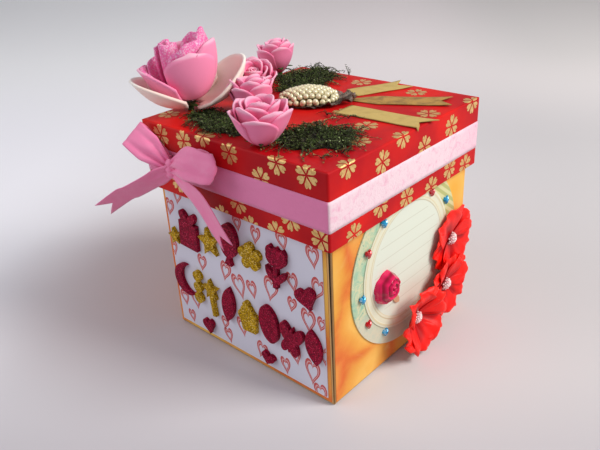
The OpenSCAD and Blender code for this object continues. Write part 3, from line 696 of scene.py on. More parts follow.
@dataclass(frozen=True)
class OpenMesh(Finish):
    """Fine knotted mesh with open holes."""

    tint: Colour = ink("#54433c")

    def paint(self, desk: ShaderDesk) -> bpy.types.Material:
        """Opens holes between the threads."""
        thread = desk.cells(1.1, "DISTANCE_TO_EDGE", at=desk.warp(0.6, 0.6))
        cloud = desk.noise(0.25, 3)
        base = desk.mix(desk.step(cloud, 0.4, 0.75) * 0.7, self.tint, ink("#a89a8c"))
        solid = thread < 0.2
        return desk.wear(Base_Color=base, Roughness=0.7, Alpha=0.4 + 0.6 * solid)


@dataclass(frozen=True)
class Leafy(Finish):
    """Matte green sepals with a paler rib."""

    tint: Colour = ink("#2d5222")

    def paint(self, desk: ShaderDesk) -> bpy.types.Material:
        """Mottles the green."""
        cloud = desk.noise(0.6, 3)
        along = desk.shade()
        base = desk.mix(cloud * 0.6, self.tint, ink("#24421a"))
        base = desk.mix(along * 0.3, base, ink("#7fa04c"))
        return desk.wear(Base_Color=base, Roughness=0.6, Normal=desk.bump(cloud, 0.1))


class Look(Enum):
    """The finishes that more than one piece wears."""

    OUTER_CARD = Card("outer_card_stock", ink("#c9a06a"))
    INNER_CARD = Card("inner_card_stock", ink("#eadfcb"))
    ROSE_CARD = Card("rosy_card_stock", ink("#e0bfa8"))
    LEAF_CARD = Card("leaf_stock", ink("#d9ac86"), 0.5)
    LID = LidPaper("lid_red_paper")
    FOIL = Foil("gold_foil")
    WALLS = Watercolour("watercolour_paper")
    WHITE = WhitePaper("white_print_paper")
    CORAL = PrintInk("coral_print")
    BLUSH = PrintInk("blush_print", ink("#e2b0b2"))
    WINE = Glitter("wine_glitter_foam")
    GOLD = Glitter("gold_glitter_foam", ink("#8c6600"), ink("#dcb012"), ink("#fff0a0"))
    ROSE = PetalFoam("rose_foam")
    CREAM = PetalFoam("cream_foam", ink("#f6b4ac"), ink("#fbe3d6"), ink("#fdf9f0"), 0.93, 0.45)
    PINK = PetalFoam("pink_foam", ink("#e86a9c"), ink("#f790b6"), ink("#fcc4d8"), 0.95, 0.4)
    FROST = FrostedFoam("frosted_foam", ink("#ee3490"), ink("#fb78b6"), ink("#fdc8e0"), 0.9, 0.55)
    RIBBON = Satin("bow_satin", ink("#fc82b2"), ink("#fcb2ce"), 0.2)
    BAND = CreasedSatin("band_satin", ink("#ec86b2"), ink("#f2d3dc"))
    BLOSSOM = StiffCloth("blossom_cloth")
    BEADS = Moulded("pink_beads", ink("#e3a0a8"), ink("#fbe9e6"), 0.3)
    TAG = TagPaper("tag_paper")
    LABEL = LabelCard("label_card")
    RED_GEM = Gem("red_gem", ink("#c20412"), 0.08)
    BLUE_GEM = Gem("blue_gem")
    BUD = Moulded("rosebud_resin")
    PEARL = Pearl("ivory_pearl")
    AMBER = Moulded("amber_plate_resin", ink("#8a5a20"), ink("#c48a44"), 0.3)
    MOSS = MossGreen("dry_moss")
    KRAFT = Kraft("kraft_paper")
    AGED = Kraft("aged_gold_paper", ink("#ac7f38"), ink("#6d4a1c"), 0.9)
    MESH = OpenMesh("open_mesh_cloth")
    SEPAL = Leafy("sepal_green")

    def material(self) -> bpy.types.Material:
        """The material of this look."""
        return self.value.material()


# Mesh layer


def unit(v: np.ndarray) -> np.ndarray:
    """Vectors scaled to length 1 along the last axis."""
    return v / np.maximum(np.linalg.norm(v, axis=-1, keepdims=True), 1e-12)


def grid_normals(grid: Grid) -> np.ndarray:
    """Normals of a grid of points, found from its neighbours."""
    along = np.gradient(grid, axis=0)
    across = np.gradient(grid, axis=1)
    return unit(np.cross(along, across))


def ring_faces(rings: int, around: int, inward: bool = False) -> list[tuple[int, ...]]:
    """Quads between closed rings of points that follow one another.

    Args:
        rings: How many rings there are.
        around: How many points each ring has.
        inward: Whether the quads face the other way.

    Returns:
        The four indices of each quad.
    """
    faces = []
    for start in range(0, (rings - 1) * around, around):
        for k in range(around):
            m = (k + 1) % around
            quad = (start + k, start + around + k, start + around + m, start + m)
            faces.append((quad[0], quad[3], quad[2], quad[1]) if inward else quad)
    return faces


class Moulder:
    """Collects the points and faces of one piece, with a shade value for each point."""

    def __init__(self, transform: Optional[Matrix] = None) -> None:
        """Starts empty.

        Args:
            transform: Where the piece's own frame stands in the box's frame, in millimetres.
        """
        self.points: list[np.ndarray] = []
        self.shades: list[np.ndarray] = []
        self.faces: list[tuple[int, ...]] = []
        self.slots: list[int] = []
        self.count = 0
        self.transform = np.array(transform) if transform is not None else np.eye(4)

    def add(self, points: np.ndarray, faces: Sequence[Sequence[int]], shade: Shade = 0.5, slot: int = 0) -> None:
        """Adds points and the faces between them.

        Args:
            points: The points in millimetres, one a row.
            faces: Indices into these points.
            shade: One shade for all, or one for each point.
            slot: The material that the faces wear.
        """
        points = np.asarray(points, float).reshape(-1, 3)
        self.points.append(points @ self.transform[:3, :3].T + self.transform[:3, 3])
        self.shades.append(np.broadcast_to(np.asarray(shade, float).ravel(), (len(points),)))
        self.faces += [tuple(int(i) + self.count for i in face) for face in faces]
        self.slots += [slot] * len(faces)
        self.count += len(points)

    def sheet(self, grid: Grid, thickness: float, shade: Shade = 0.5) -> None:
        """Adds a sheet of even thickness whose middle is the grid.

        Args:
            grid: Rows of points along the sheet.
            thickness: In millimetres.
            shade: One shade, or one for each point of the grid.
        """
        rows, columns = grid.shape[:2]
        lift = grid_normals(grid) * thickness / 2
        points = np.concatenate([(grid + lift).reshape(-1, 3), (grid - lift).reshape(-1, 3)])
        half = rows * columns
        at = lambda i, j: i * columns + j
        faces = []
        for i in range(rows - 1):
            for j in range(columns - 1):
                a, b, c, d = at(i, j), at(i + 1, j), at(i + 1, j + 1), at(i, j + 1)
                faces.append((a, b, c, d))
                faces.append((d + half, c + half, b + half, a + half))
        border = [at(i, 0) for i in range(rows)] + [at(rows - 1, j) for j in range(1, columns)]
        border += [at(i, columns - 1) for i in range(rows - 2, -1, -1)]
        border += [at(0, j) for j in range(columns - 2, 0, -1)]
        for a, b in zip(border, border[1:] + border[:1]):
            faces.append((b, a, a + half, b + half))
        values = np.broadcast_to(np.asarray(shade, float), (rows, columns)).ravel()
        self.add(points, faces, np.concatenate([values, values]))

    def ball(
        self, middle: Sequence[float], radius: float, around: int = 14, rings: int = 9, shade: Optional[float] = None,
    ) -> None:
        """Adds a round bead.

        Args:
            middle: Its centre.
            radius: Its radius in millimetres.
            around: Points of a ring.
            rings: Bands from top to bottom.
            shade: Its shade, which otherwise runs from 0 below to 1 on top.
        """
        points = []
        for i in range(1, rings):
            tilt = math.pi * i / rings
            for k in range(around):
                turn = 2 * math.pi * k / around
                points.append((math.sin(tilt) * math.cos(turn), math.sin(tilt) * math.sin(turn), math.cos(tilt)))
        faces = ring_faces(rings - 1, around)
        top, low = len(points), len(points) + 1
        points += [(0, 0, 1), (0, 0, -1)]
        last = (rings - 2) * around
        for k in range(around):
            m = (k + 1) % around
            faces += [(top, k, m), (low, last + m, last + k)]
        unit_points = np.array(points)
        shades = unit_points[:, 2] / 2 + 0.5 if shade is None else shade
        self.add(unit_points * radius + np.array(middle), faces, shades)

    def tube(self, line: np.ndarray, radius: Shade, around: int = 6, shade: Shade = 0.5) -> None:
        """Adds a round rod along a line of points, closed at both ends.

        Args:
            line: The points of its middle line.
            radius: One radius, or one for each point of the line.
            around: Points around the rod.
            shade: One shade, or one for each point of the line.
        """
        line = np.asarray(line, float)
        forward = unit(np.gradient(line, axis=0))
        helper = np.array([0.0, 0.0, 1.0]) if abs(forward[0][2]) < 0.9 else np.array([1.0, 0.0, 0.0])
        side = unit(np.cross(forward, helper))
        up = np.cross(side, forward)
        radii = np.broadcast_to(np.asarray(radius, float), (len(line),))
        turns = np.arange(around) * 2 * math.pi / around
        ring = np.cos(turns)[None, :, None] * side[:, None, :] + np.sin(turns)[None, :, None] * up[:, None, :]
        points = (line[:, None, :] + ring * radii[:, None, None]).reshape(-1, 3)
        last = (len(line) - 1) * around
        faces = ring_faces(len(line), around, inward=True)
        faces += [tuple(range(around - 1, -1, -1)), tuple(range(last, last + around))]
        shades = np.repeat(np.broadcast_to(np.asarray(shade, float), (len(line),)), around)
        self.add(points, faces, shades)

    def trim(self, half: float) -> None:
        """Keeps every point over the lid's square top."""
        for points in self.points:
            points[:, :2] = np.clip(points[:, :2], -half, half)

    def keep_above(self, height: float) -> None:
        """Lifts every point that lies below a height of the box's frame."""
        for points in self.points:
            points[:, 2] = np.maximum(points[:, 2], height)

    def build(
        self, name: str, body: str, looks: Sequence[Look], replaces: Sequence[str] = (), slot: str = "",
        smooth: bool = True,
    ) -> bpy.types.Object:
        """Makes the object, puts it on its body and hides the solids that it stands for.

        Args:
            name: The piece's name.
            body: The body that it moves with.
            looks: Its finishes, in slot order.
            replaces: The solids that it stands for.
            slot: The record's slot of its finish; not used.
            smooth: Whether its faces are shaded smooth.

        Returns:
            The new object.
        """
        points = np.concatenate(self.points) * MM
        mesh = bpy.data.meshes.new(name)
        mesh.from_pydata(points.tolist(), [], self.faces)
        mesh.polygons.foreach_set("material_index", self.slots)
        mesh.polygons.foreach_set("use_smooth", [smooth] * len(self.faces))
        shade = mesh.attributes.new("shade", "FLOAT", "POINT")
        shade.data.foreach_set("value", np.concatenate(self.shades).astype(np.float32))
        mesh.validate()
        mesh.update()
        made = bpy.data.objects.new(name, mesh)
        bpy.context.scene.collection.objects.link(made)
        for look in looks:
            mesh.materials.append(look.material())
        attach(made, body)
        if replaces:
            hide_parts(*replaces)
        LOG.info("%s: %d faces on %s", name, len(self.faces), body)
        return made


def dress(node: str, look: Look) -> None:
    """Gives a solid of the frame its finish.

    Args:
        node: The solid's node.
        look: The finish.
    """
    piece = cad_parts[node]
    piece.data.materials.clear()
    piece.data.materials.append(look.material())
    LOG.info("%s wears %s", node, look.value.name)


def curve_through(knots: np.ndarray, count: int) -> np.ndarray:
    """A smooth run of points through rows of values, evenly spread over their order.

    Args:
        knots: The rows to pass through.
        count: How many points are wanted.

    Returns:
        The points, one a row.
    """
    knots = np.asarray(knots, float)
    last = len(knots) - 1
    out = []
    for t in np.linspace(0, last, count):
        i = min(int(t), last - 1)
        f = t - i
        p0, p1 = knots[max(i - 1, 0)], knots[i]
        p2, p3 = knots[i + 1], knots[min(i + 2, last)]
        slope, bend, twist = p2 - p0, 2 * p0 - 5 * p1 + 4 * p2 - p3, 3 * p1 - p0 - 3 * p2 + p3
        out.append(0.5 * (2 * p1 + slope * f + bend * f * f + twist * f**3))
    return np.array(out)


def heart_outline(width: float, height: float, count: int) -> np.ndarray:
    """Points around a heart that is centred on 0, with its tip down.

    Args:
        width: Its width.
        height: Its height.
        count: How many points go around it.

    Returns:
        The points, one a row.
    """
    curve_low, curve_tall = -17, 28.9
    a = np.linspace(0, 2 * math.pi, count, endpoint=False)
    x = np.sin(a) ** 3
    y = 13 * np.cos(a) - 5 * np.cos(2 * a) - 2 * np.cos(3 * a) - np.cos(4 * a)
    return np.stack([x * width / 2, ((y - curve_low) / curve_tall - 0.5) * height], axis=1)


# Sub-assemblies


@dataclass
class SheetBox:
    """The nested folded sheets, the wall papers and the printed front panel."""

    panel_y: float = -51.35
    half_width: float = 47.6
    low: float = 3.6
    high: float = 105.0
    grow: float = 1.08
    points: int = 34
    hearts: tuple[tuple[float, float, float, float], ...] = (
        (42.9, 70.5, 6.5, 8), (-26.6, 43.3, 6, -10), (-1.7, 39.8, 8, 14), (18.1, 46.1, 8, -8), (31.3, 54.7, 6, 10),
        (44.7, 56.6, 7, -12), (39, 38.9, 7.5, 6), (30.3, 17.6, 7, 12), (39.8, 12.7, 8, -6), (46.9, 24.8, 6, 4),
        (8.9, 9.9, 6.5, -14), (44.3, 3.6, 7, 10), (-35, 19.2, 7, 8), (-45.5, 66.9, 6, -8), (-10.5, 44.5, 6.5, -12),
        (6.5, 41.5, 6, 12), (-2.5, 17.5, 6.5, 8), (-44, 17, 6, 6), (-20.5, 71.5, 6, 9), (11.5, 70, 5.5, -9),
        (27, 72.5, 6, 14), (-38.5, 74, 5.5, -10), (1, 72.5, 5, 5), (-15, 14.5, 5, -9), (24, 8.5, 5.5, 5),
        (46, 40.5, 5, -8), (-40, 7.8, 5, 9), (-47, 44.5, 5.5, 3), (30, 43.5, 5, -5), (-13, 8, 5.5, 12),
    )

    def dress(self) -> None:
        """Gives the sheets and papers their finishes."""
        dress("outer_sheet", Look.OUTER_CARD)
        dress("middle_sheet", Look.INNER_CARD)
        dress("inner_sheet", Look.ROSE_CARD)
        dress("wall_papers", Look.WALLS)
        dress("heart_panel", Look.WHITE)

    def print_hearts(self) -> None:
        """Prints hearts of two coral lines and a blush one on the front panel."""
        made = Moulder()
        chance = random.Random(11)
        faces = ring_faces(2, self.points, inward=True)
        for x, z, size, tilt in self.hearts:
            turn = math.radians(tilt + chance.uniform(-3, 3))
            rotation = np.array([[math.cos(turn), math.sin(turn)], [-math.sin(turn), math.cos(turn)]])
            size *= self.grow
            tall = size * chance.uniform(1.4, 1.6)
            near = 1 - 1.5 / size
            steps = 2 * math.pi * 3 * np.arange(self.points) / self.points
            wobble = (1 + 0.025 * np.sin(steps + size * 5))[:, None]
            for share, width, slot in ((1.0, 0.75, 0), (near, 0.4, 1), (near - 0.8 / size, 0.55, 0)):
                outer = heart_outline(size * share, tall * share, self.points) * wobble
                inner = outer * (1 - width / (size * share / 2))
                turned = np.concatenate([outer, inner]) @ rotation
                px = np.clip(turned[:, 0] + x, -self.half_width, self.half_width)
                pz = np.clip(turned[:, 1] + z, self.low, self.high)
                py = np.full(2 * self.points, self.panel_y - 0.02 - 0.01 * slot)
                made.add(np.stack([px, py, pz], axis=1), faces, 0.5, slot)
        made.build("printed_hearts", "base", (Look.CORAL, Look.BLUSH), slot="heart_paper")

    def build(self) -> None:
        """Makes the whole sub-assembly."""
        self.dress()
        self.print_hearts()


@dataclass
class FoamSet:
    """The glittered foam shapes on the front."""

    gold: tuple[str, ...] = ("little_star", "star", "blossom", "beads", "wand", "cake")
    wine: tuple[str, ...] = (
        "gift", "balloon", "tulip", "heart", "moon", "leaf", "oval", "butterfly", "bud", "little_hearts",
    )

    def build(self) -> None:
        """Gives each shape its glitter."""
        for name in self.gold:
            dress(f"foam_{name}", Look.GOLD)
        for name in self.wine:
            dress(f"foam_{name}", Look.WINE)


@dataclass
class Blossom:
    """One fabric blossom on the tag: wide ruffled petals around a bead cluster."""

    name: str
    y: float
    z: float
    seat_x: float
    radius: float
    depth: float
    spin: float
    lift: float = 0.0
    ruffle: float = 1.0
    petals: int = 5
    stamens: int = 34
    cluster: float = 2.9
    floor_gap: float = 0.8
    seed: int = 1

    def petal(self, angle: float, chance: random.Random, order: int) -> tuple[Grid, Grid]:
        """One broad round petal as a grid of points and its shades.

        Args:
            angle: Direction of the petal's middle, in degrees.
            chance: The source of small differences.
            order: Its place in the overlap.

        Returns:
            The grid and the shade of each point.
        """
        rows, columns = 22, 25
        u = np.linspace(0.0, 1.0, rows)[:, None]
        v = np.linspace(-1, 1, columns)[None, :]
        length = self.radius * chance.uniform(0.97, 1.04)
        spread = self.radius * 0.56 * chance.uniform(0.95, 1.05)
        cap = 0.45 + 0.55 * np.sqrt(1 - (0.97 * v) ** 2)
        width = spread * (0.18 + 0.82 * np.sin(np.pi / 2 * np.clip(u / 0.7, 0, 1)) ** 1.1)
        notch = 0.09 * np.exp(-((v / 0.3) ** 2)) * u**4
        scallop = 0.03 * np.sin(3.1 * np.pi * v + chance.uniform(0, FULL_TURN)) * u**3
        reach = length * (0.06 + 0.94 * u * cap) * (1 - notch + scallop)
        fold = np.exp(-((v / 0.28) ** 2)) * np.sin(np.pi * np.clip(u * 1.05, 0, 1)) ** 0.7
        phase = chance.uniform(0, FULL_TURN)
        wave = np.sin(2.3 * np.pi * v + phase) + 0.45 * np.sin(5.2 * np.pi * v + 2 * phase)
        cup = self.depth * np.sin(np.pi / 2 * u) ** 1.6 * (1 - 0.3 * u**4)
        curl = chance.uniform(0.2, 1.5) * np.abs(v) ** 2.5 * np.sin(np.pi / 2 * u)
        above = order % 2
        ruffled = self.ruffle * (0.75 * wave * u**2 - 1.3 * fold + curl)
        height = np.maximum(0.3 + cup + ruffled + 0.5 * above * np.sin(np.pi * u), 0.2 + 0.15 * above)
        a = math.radians(angle + chance.uniform(-4, 4))
        x = reach * math.cos(a) - v * width * math.sin(a)
        y = reach * math.sin(a) + v * width * math.cos(a)
        # The shade value is low at the throat and in the middle fold and higher on the wave crests, so the cloth
        # paints shade and light there
        shade = np.clip(u - 0.55 * fold + 0.2 * wave * u, 0, 1)
        return np.stack([x, y, height + self.lift + 0 * x], axis=-1), np.broadcast_to(shade, x.shape)

    def build(self) -> None:
        """Makes the petals and the cluster of fine stamens."""
        chance = random.Random(self.seed)
        place = Matrix.Translation((self.seat_x, self.y, self.z)) @ OUT_OF_WALL
        made = Moulder(place)
        for k in range(self.petals):
            grid, shade = self.petal(self.spin + 360 * k / self.petals, chance, k)
            grid[..., 1] = np.maximum(grid[..., 1], -self.z + self.floor_gap)
            made.sheet(grid, 0.35, shade)
        made.build(self.name, "base", (Look.BLOSSOM,), (self.name,), "red_cloth")
        beads = Moulder(place)
        for k in range(self.stamens):
            share = math.sqrt((k + 0.5) / self.stamens)
            a = math.radians(GOLDEN_ANGLE * k)
            y, z = self.cluster * share * math.cos(a), self.cluster * share * math.sin(a)
            tip = (y, z, 1.0 + 2.0 * (1 - share**2) ** 0.7 + self.lift)
            beads.ball(tip, chance.uniform(0.42, 0.62), 8, 6, shade=chance.uniform(0.3, 1.0))
            root = np.array([(0.4 * y, 0.4 * z, self.lift + 0.3), (0.8 * y, 0.8 * z, self.lift + 0.8), tip])
            beads.tube(root, 0.16, 5, 0.2)
        beads.build(f"{self.name}_beads", "base", (Look.BEADS,), (f"{self.name}_centre",), "bead_pink")


@dataclass
class RoundTag:
    """The tag on the right wall with its gems, rosebud and blossoms."""

    tag_x: float = 51.65
    label_x: float = 52.05
    red: tuple[tuple[float, float], ...] = ((57, 31), (152, 33.6), (213, 34.9))
    blue: tuple[tuple[float, float], ...] = ((29, 34.6), (127, 31.5), (187, 34), (241, 34.6))
    gem_width: float = 4.0
    gem_top: float = 76.75
    gem_points: int = 12
    bud_y: float = -17.0
    bud_z: float = 43.5
    bud_radius: float = 7.4
    bud_depth: float = 6.9
    whorls: float = 3.1

    def gems(self, name: str, places: Sequence[tuple[float, float]], look: Look, slot: str) -> None:
        """Cuts heart-shaped gems with a ring of facets and a flat table.

        Args:
            name: The solid that they stand for.
            places: Direction and distance of each from the tag's middle.
            look: Their finish.
            slot: The record's slot of their finish.
        """
        made = Moulder()
        levels = ((1.0, 0.0), (1.0, 0.45), (0.78, 1.05), (0.45, 1.5))
        count = self.gem_points
        faces = ring_faces(len(levels), count)
        last = (len(levels) - 1) * count
        faces.append(tuple(range(last + count - 1, last - 1, -1)))
        for angle, away in places:
            y = TAG_Y + away * math.cos(math.radians(angle))
            z = min(TAG_Z + away * math.sin(math.radians(angle)), self.gem_top - self.gem_width / 2)
            seat = self.tag_x if away > LABEL_RADIUS + self.gem_width / 2 else self.label_x
            rings = []
            for share, up in levels:
                outline = heart_outline(self.gem_width * share, self.gem_width * share, count)
                rings.append(np.stack([np.full(count, seat + up), outline[:, 0] + y, outline[:, 1] + z], axis=1))
            made.add(np.concatenate(rings), faces, 0.8)
        made.build(f"{name}_cut", "base", (look,), (name,), slot, smooth=False)

    def rosebud(self) -> None:
        """Carves the glossy rosebud as whorls on a dome, with its leaf."""
        made = Moulder(Matrix.Translation((self.label_x, self.bud_y, self.bud_z)) @ OUT_OF_WALL)
        around, rings = 84, 30
        points, shades = [], []
        for i in range(rings):
            s = i / (rings - 1)
            for k in range(around):
                a = 2 * math.pi * k / around
                whorl = (self.whorls * s + a / (2 * math.pi) + 0.07 * math.sin(5 * a)) % 1.0
                ridge = 1 - abs(whorl - 0.4) / 0.6 if whorl > 0.4 else whorl / 0.4
                edge = 1 + 0.045 * math.sin(5 * a + 0.6) + 0.02 * math.sin(11 * a)
                r = self.bud_radius * s * edge
                h = self.bud_depth * math.sqrt(max(0.0, 1 - s**2.4)) * (0.8 + 0.2 * ridge)
                x, y = r * math.cos(a) - 1.6 * (1 - s), r * math.sin(a) + 2.2 * (1 - s)
                points.append((x, y, h * (1 - 0.05 * math.cos(5 * a) * s)))
                # The ridge value is low in the grooves between whorls, where the resin paints shade
                shades.append(ridge)
        made.add(np.array(points), ring_faces(rings, around), np.array(shades))
        made.build("rosebud_carving", "base", (Look.BUD,), ("carved_rosebud",), "rosebud_resin")
        dress("rosebud_leaf", Look.LEAF_CARD)

    def build(self) -> None:
        """Makes the whole sub-assembly."""
        dress("tag_backing", Look.TAG)
        dress("tag_label", Look.LABEL)
        self.gems("red_gems", self.red, Look.RED_GEM, "red_gem")
        self.gems("blue_gems", self.blue, Look.BLUE_GEM, "blue_gem")
        self.rosebud()
        Blossom("upper_blossom", 36.5, 44.0, self.label_x, 17.4, 2.4, 52, 0.0, 0.7, seed=3).build()
        Blossom("middle_blossom", 29.0, 23.3, self.label_x, 16.6, 3.4, 25, 2.6, 1.0, seed=5).build()
        Blossom("lower_blossom", 3.0, 18.4, self.label_x, 17.4, 7.6, 48, 3.2, 1.4, seed=8).build()


class Side(Enum):
    """The four skirts of the lid, by their turn about the upright axis."""

    FRONT = 0
    RIGHT = 90
    BACK = 180
    LEFT = 270


@dataclass
class Lid:
    """The lid's red tray, its gold flowers and the satin band."""

    half: float = LID_HALF
    top: float = LID_TOP
    fold: float = 0.9
    print_lift: float = 0.06
    band_low: float = 85.1
    band_high: float = 97.8
    petal_long: float = 4.75
    on_top: tuple[tuple[float, float], ...] = (
        (-47.9, -42.4), (43.4, -22.5), (34.8, -6.1), (-6.2, 44.8), (26.1, 44.2), (47.3, 20.8), (-45, 14), (4, 30),
        (-24, 20), (-46, 46), (16, 3),
    )
    on_front: tuple[tuple[float, float], ...] = (
        (-40.4, 103.9), (-24.9, 104.5), (-12.5, 109.6), (3.2, 105.4), (29.1, 107.2), (43.7, 105.8), (20.2, 98.5),
        (-32.4, 84.0), (-23.0, 76.0), (5.5, 84.4), (-5.0, 75.2), (12.0, 75.4), (26.4, 77.4), (34.7, 85.6),
        (49.6, 81.6),
    )
    on_right: tuple[tuple[float, float], ...] = (
        (-42.3, 107.9), (-21.2, 102.4), (-7.3, 108.5), (8.3, 99.2), (29.5, 102.0), (46.8, 108.2), (-39.2, 78.9),
        (-3.8, 81.0), (15.0, 78.5), (29.9, 82.3), (43.7, 79.4), (-22, 84.5),
    )
    unseen: tuple[tuple[float, float], ...] = (
        (-42, 104), (-22, 102), (3, 105), (25, 103), (45, 105), (-33, 82), (-8, 81), (14, 82.5), (36, 81),
    )

    def wrap(self, side: Side, along: float, height: float, lift: float) -> tuple[float, float, float]:
        """A point of the paper as it folds from a skirt over the edge onto the top.

        Args:
            side: The skirt.
            along: Place along the skirt, to the right as seen from outside.
            height: Height of the flat paper; above the top edge it runs inwards on the top.
            lift: How far it stands off the paper.

        Returns:
            The point in the box's frame.
        """
        down = self.top - height
        inner = self.half - self.fold
        if down > self.fold:
            out, up = self.half + lift, height
        elif down < -self.fold:
            out, up = self.half + down, self.top + lift
        else:
            a = (down / self.fold + 1) / 2 * math.pi / 2
            out = inner + (self.fold + lift) * math.sin(a)
            up = self.top - self.fold + (self.fold + lift) * math.cos(a)
        turn = math.radians(side.value)
        x, y = along, -out
        return (x * math.cos(turn) - y * math.sin(turn), x * math.sin(turn) + y * math.cos(turn), up)

    def flower(
        self, put: Callable[[float, float], tuple[float, float, float]], made: Moulder, spin: float, size: float,
    ) -> None:
        """Adds one flower of six heart-shaped petals.

        Args:
            put: Takes a point of the flat flower to its place on the paper.
            made: Where it is added.
            spin: Its turn, in degrees.
            size: Its share of the usual size.
        """
        count, shares = 18, (1.0, 0.75, 0.5, 0.25)
        outline = heart_outline(3.0 * size, self.petal_long * 0.94 * size, count)
        middle = self.petal_long * size / 2 + 0.4 * size
        last = (len(shares) - 1) * count
        faces = ring_faces(len(shares), count, inward=True)
        faces += [(last + j, last + (j + 1) % count, last + count) for j in range(count)]
        for k in range(6):
            a = math.radians(spin + 60 * k)
            points = []
            for share in shares:
                for px, py in outline * share:
                    away = py + middle
                    points.append(put(away * math.cos(a) - px * math.sin(a), away * math.sin(a) + px * math.cos(a)))
            points.append(put(middle * math.cos(a), middle * math.sin(a)))
            made.add(np.array(points), faces, 0.5)

    def foil(self) -> None:
        """Prints the gold flowers over the top and the skirts."""
        chance = random.Random(4)
        made = Moulder()
        lift, edge = self.print_lift, self.half - self.fold
        for x, y in self.on_top:
            put = lambda u, v, x=x, y=y: (
                min(max(x + u, -edge), edge), min(max(y + v, -edge), edge), self.top + lift,
            )
            self.flower(put, made, chance.uniform(0, 60), chance.uniform(0.98, 1.08))
        skirts = {
            Side.FRONT: self.on_front, Side.RIGHT: self.on_right, Side.BACK: self.unseen, Side.LEFT: self.unseen,
        }
        for side, places in skirts.items():
            for along, height in places:
                put = lambda u, v, s=side, a=along, h=height: self.wrap(
                    s, min(max(a + u, -edge), edge), max(h + v, SKIRT_FOOT + 0.1), lift
                )
                self.flower(put, made, chance.uniform(20, 40), chance.uniform(0.98, 1.06))
        made.build("gold_flowers", "lid", (Look.FOIL,), slot="lid_card", smooth=False)

    def band(self) -> None:
        """Lays the satin band around the skirts, with small creases on its free stretches."""
        r = self.fold
        inner = self.half - r
        path, normals = [], []
        for turn in (0, 90, 180, 270):
            c, s = math.cos(math.radians(turn)), math.sin(math.radians(turn))
            for t in np.linspace(-inner, inner, 60):
                path.append((t * c + self.half * s, t * s - self.half * c))
                normals.append((s, -c))
            for a in np.linspace(0, 90, 6)[1:-1]:
                d = math.radians(turn - 90 + a)
                cx, cy = inner * c + inner * s, inner * s - inner * c
                path.append((cx + r * math.cos(d), cy + r * math.sin(d)))
                normals.append((math.cos(d), math.sin(d)))
        path, normals = np.array(path), np.array(normals)
        count, rows = len(path), 9
        chance = np.random.default_rng(7)
        step = np.linalg.norm(np.roll(path, -1, axis=0) - path, axis=1)
        along = np.concatenate([[0], np.cumsum(step)[:-1]])
        heights = np.linspace(self.band_low, self.band_high, rows)
        waves = [
            (chance.uniform(0.15, 0.9), chance.uniform(-0.5, 0.5), chance.uniform(0, FULL_TURN)) for _ in range(14)
        ]
        grid = np.zeros((count + 1, rows, 3))
        for i in range(count + 1):
            p, n, s = path[i % count], normals[i % count], along[i % count]
            for j, z in enumerate(heights):
                ripple = sum(math.sin(f * s + g * z + h) for f, g, h in waves) / len(waves)
                edge = 0.12 if j in (0, rows - 1) else 0.22
                off = edge + 0.16 * ripple * (0.4 if j in (0, rows - 1) else 1.0)
                grid[i, j] = (p[0] + n[0] * off, p[1] + n[1] * off, z)
        made = Moulder()
        made.sheet(grid, 0.12)
        band = made.build("satin_band", "lid", (Look.BAND,), ("lid_ribbon",), "satin")

    def build(self) -> None:
        """Makes the whole sub-assembly."""
        dress("lid_tray", Look.LID)
        self.foil()
        self.band()


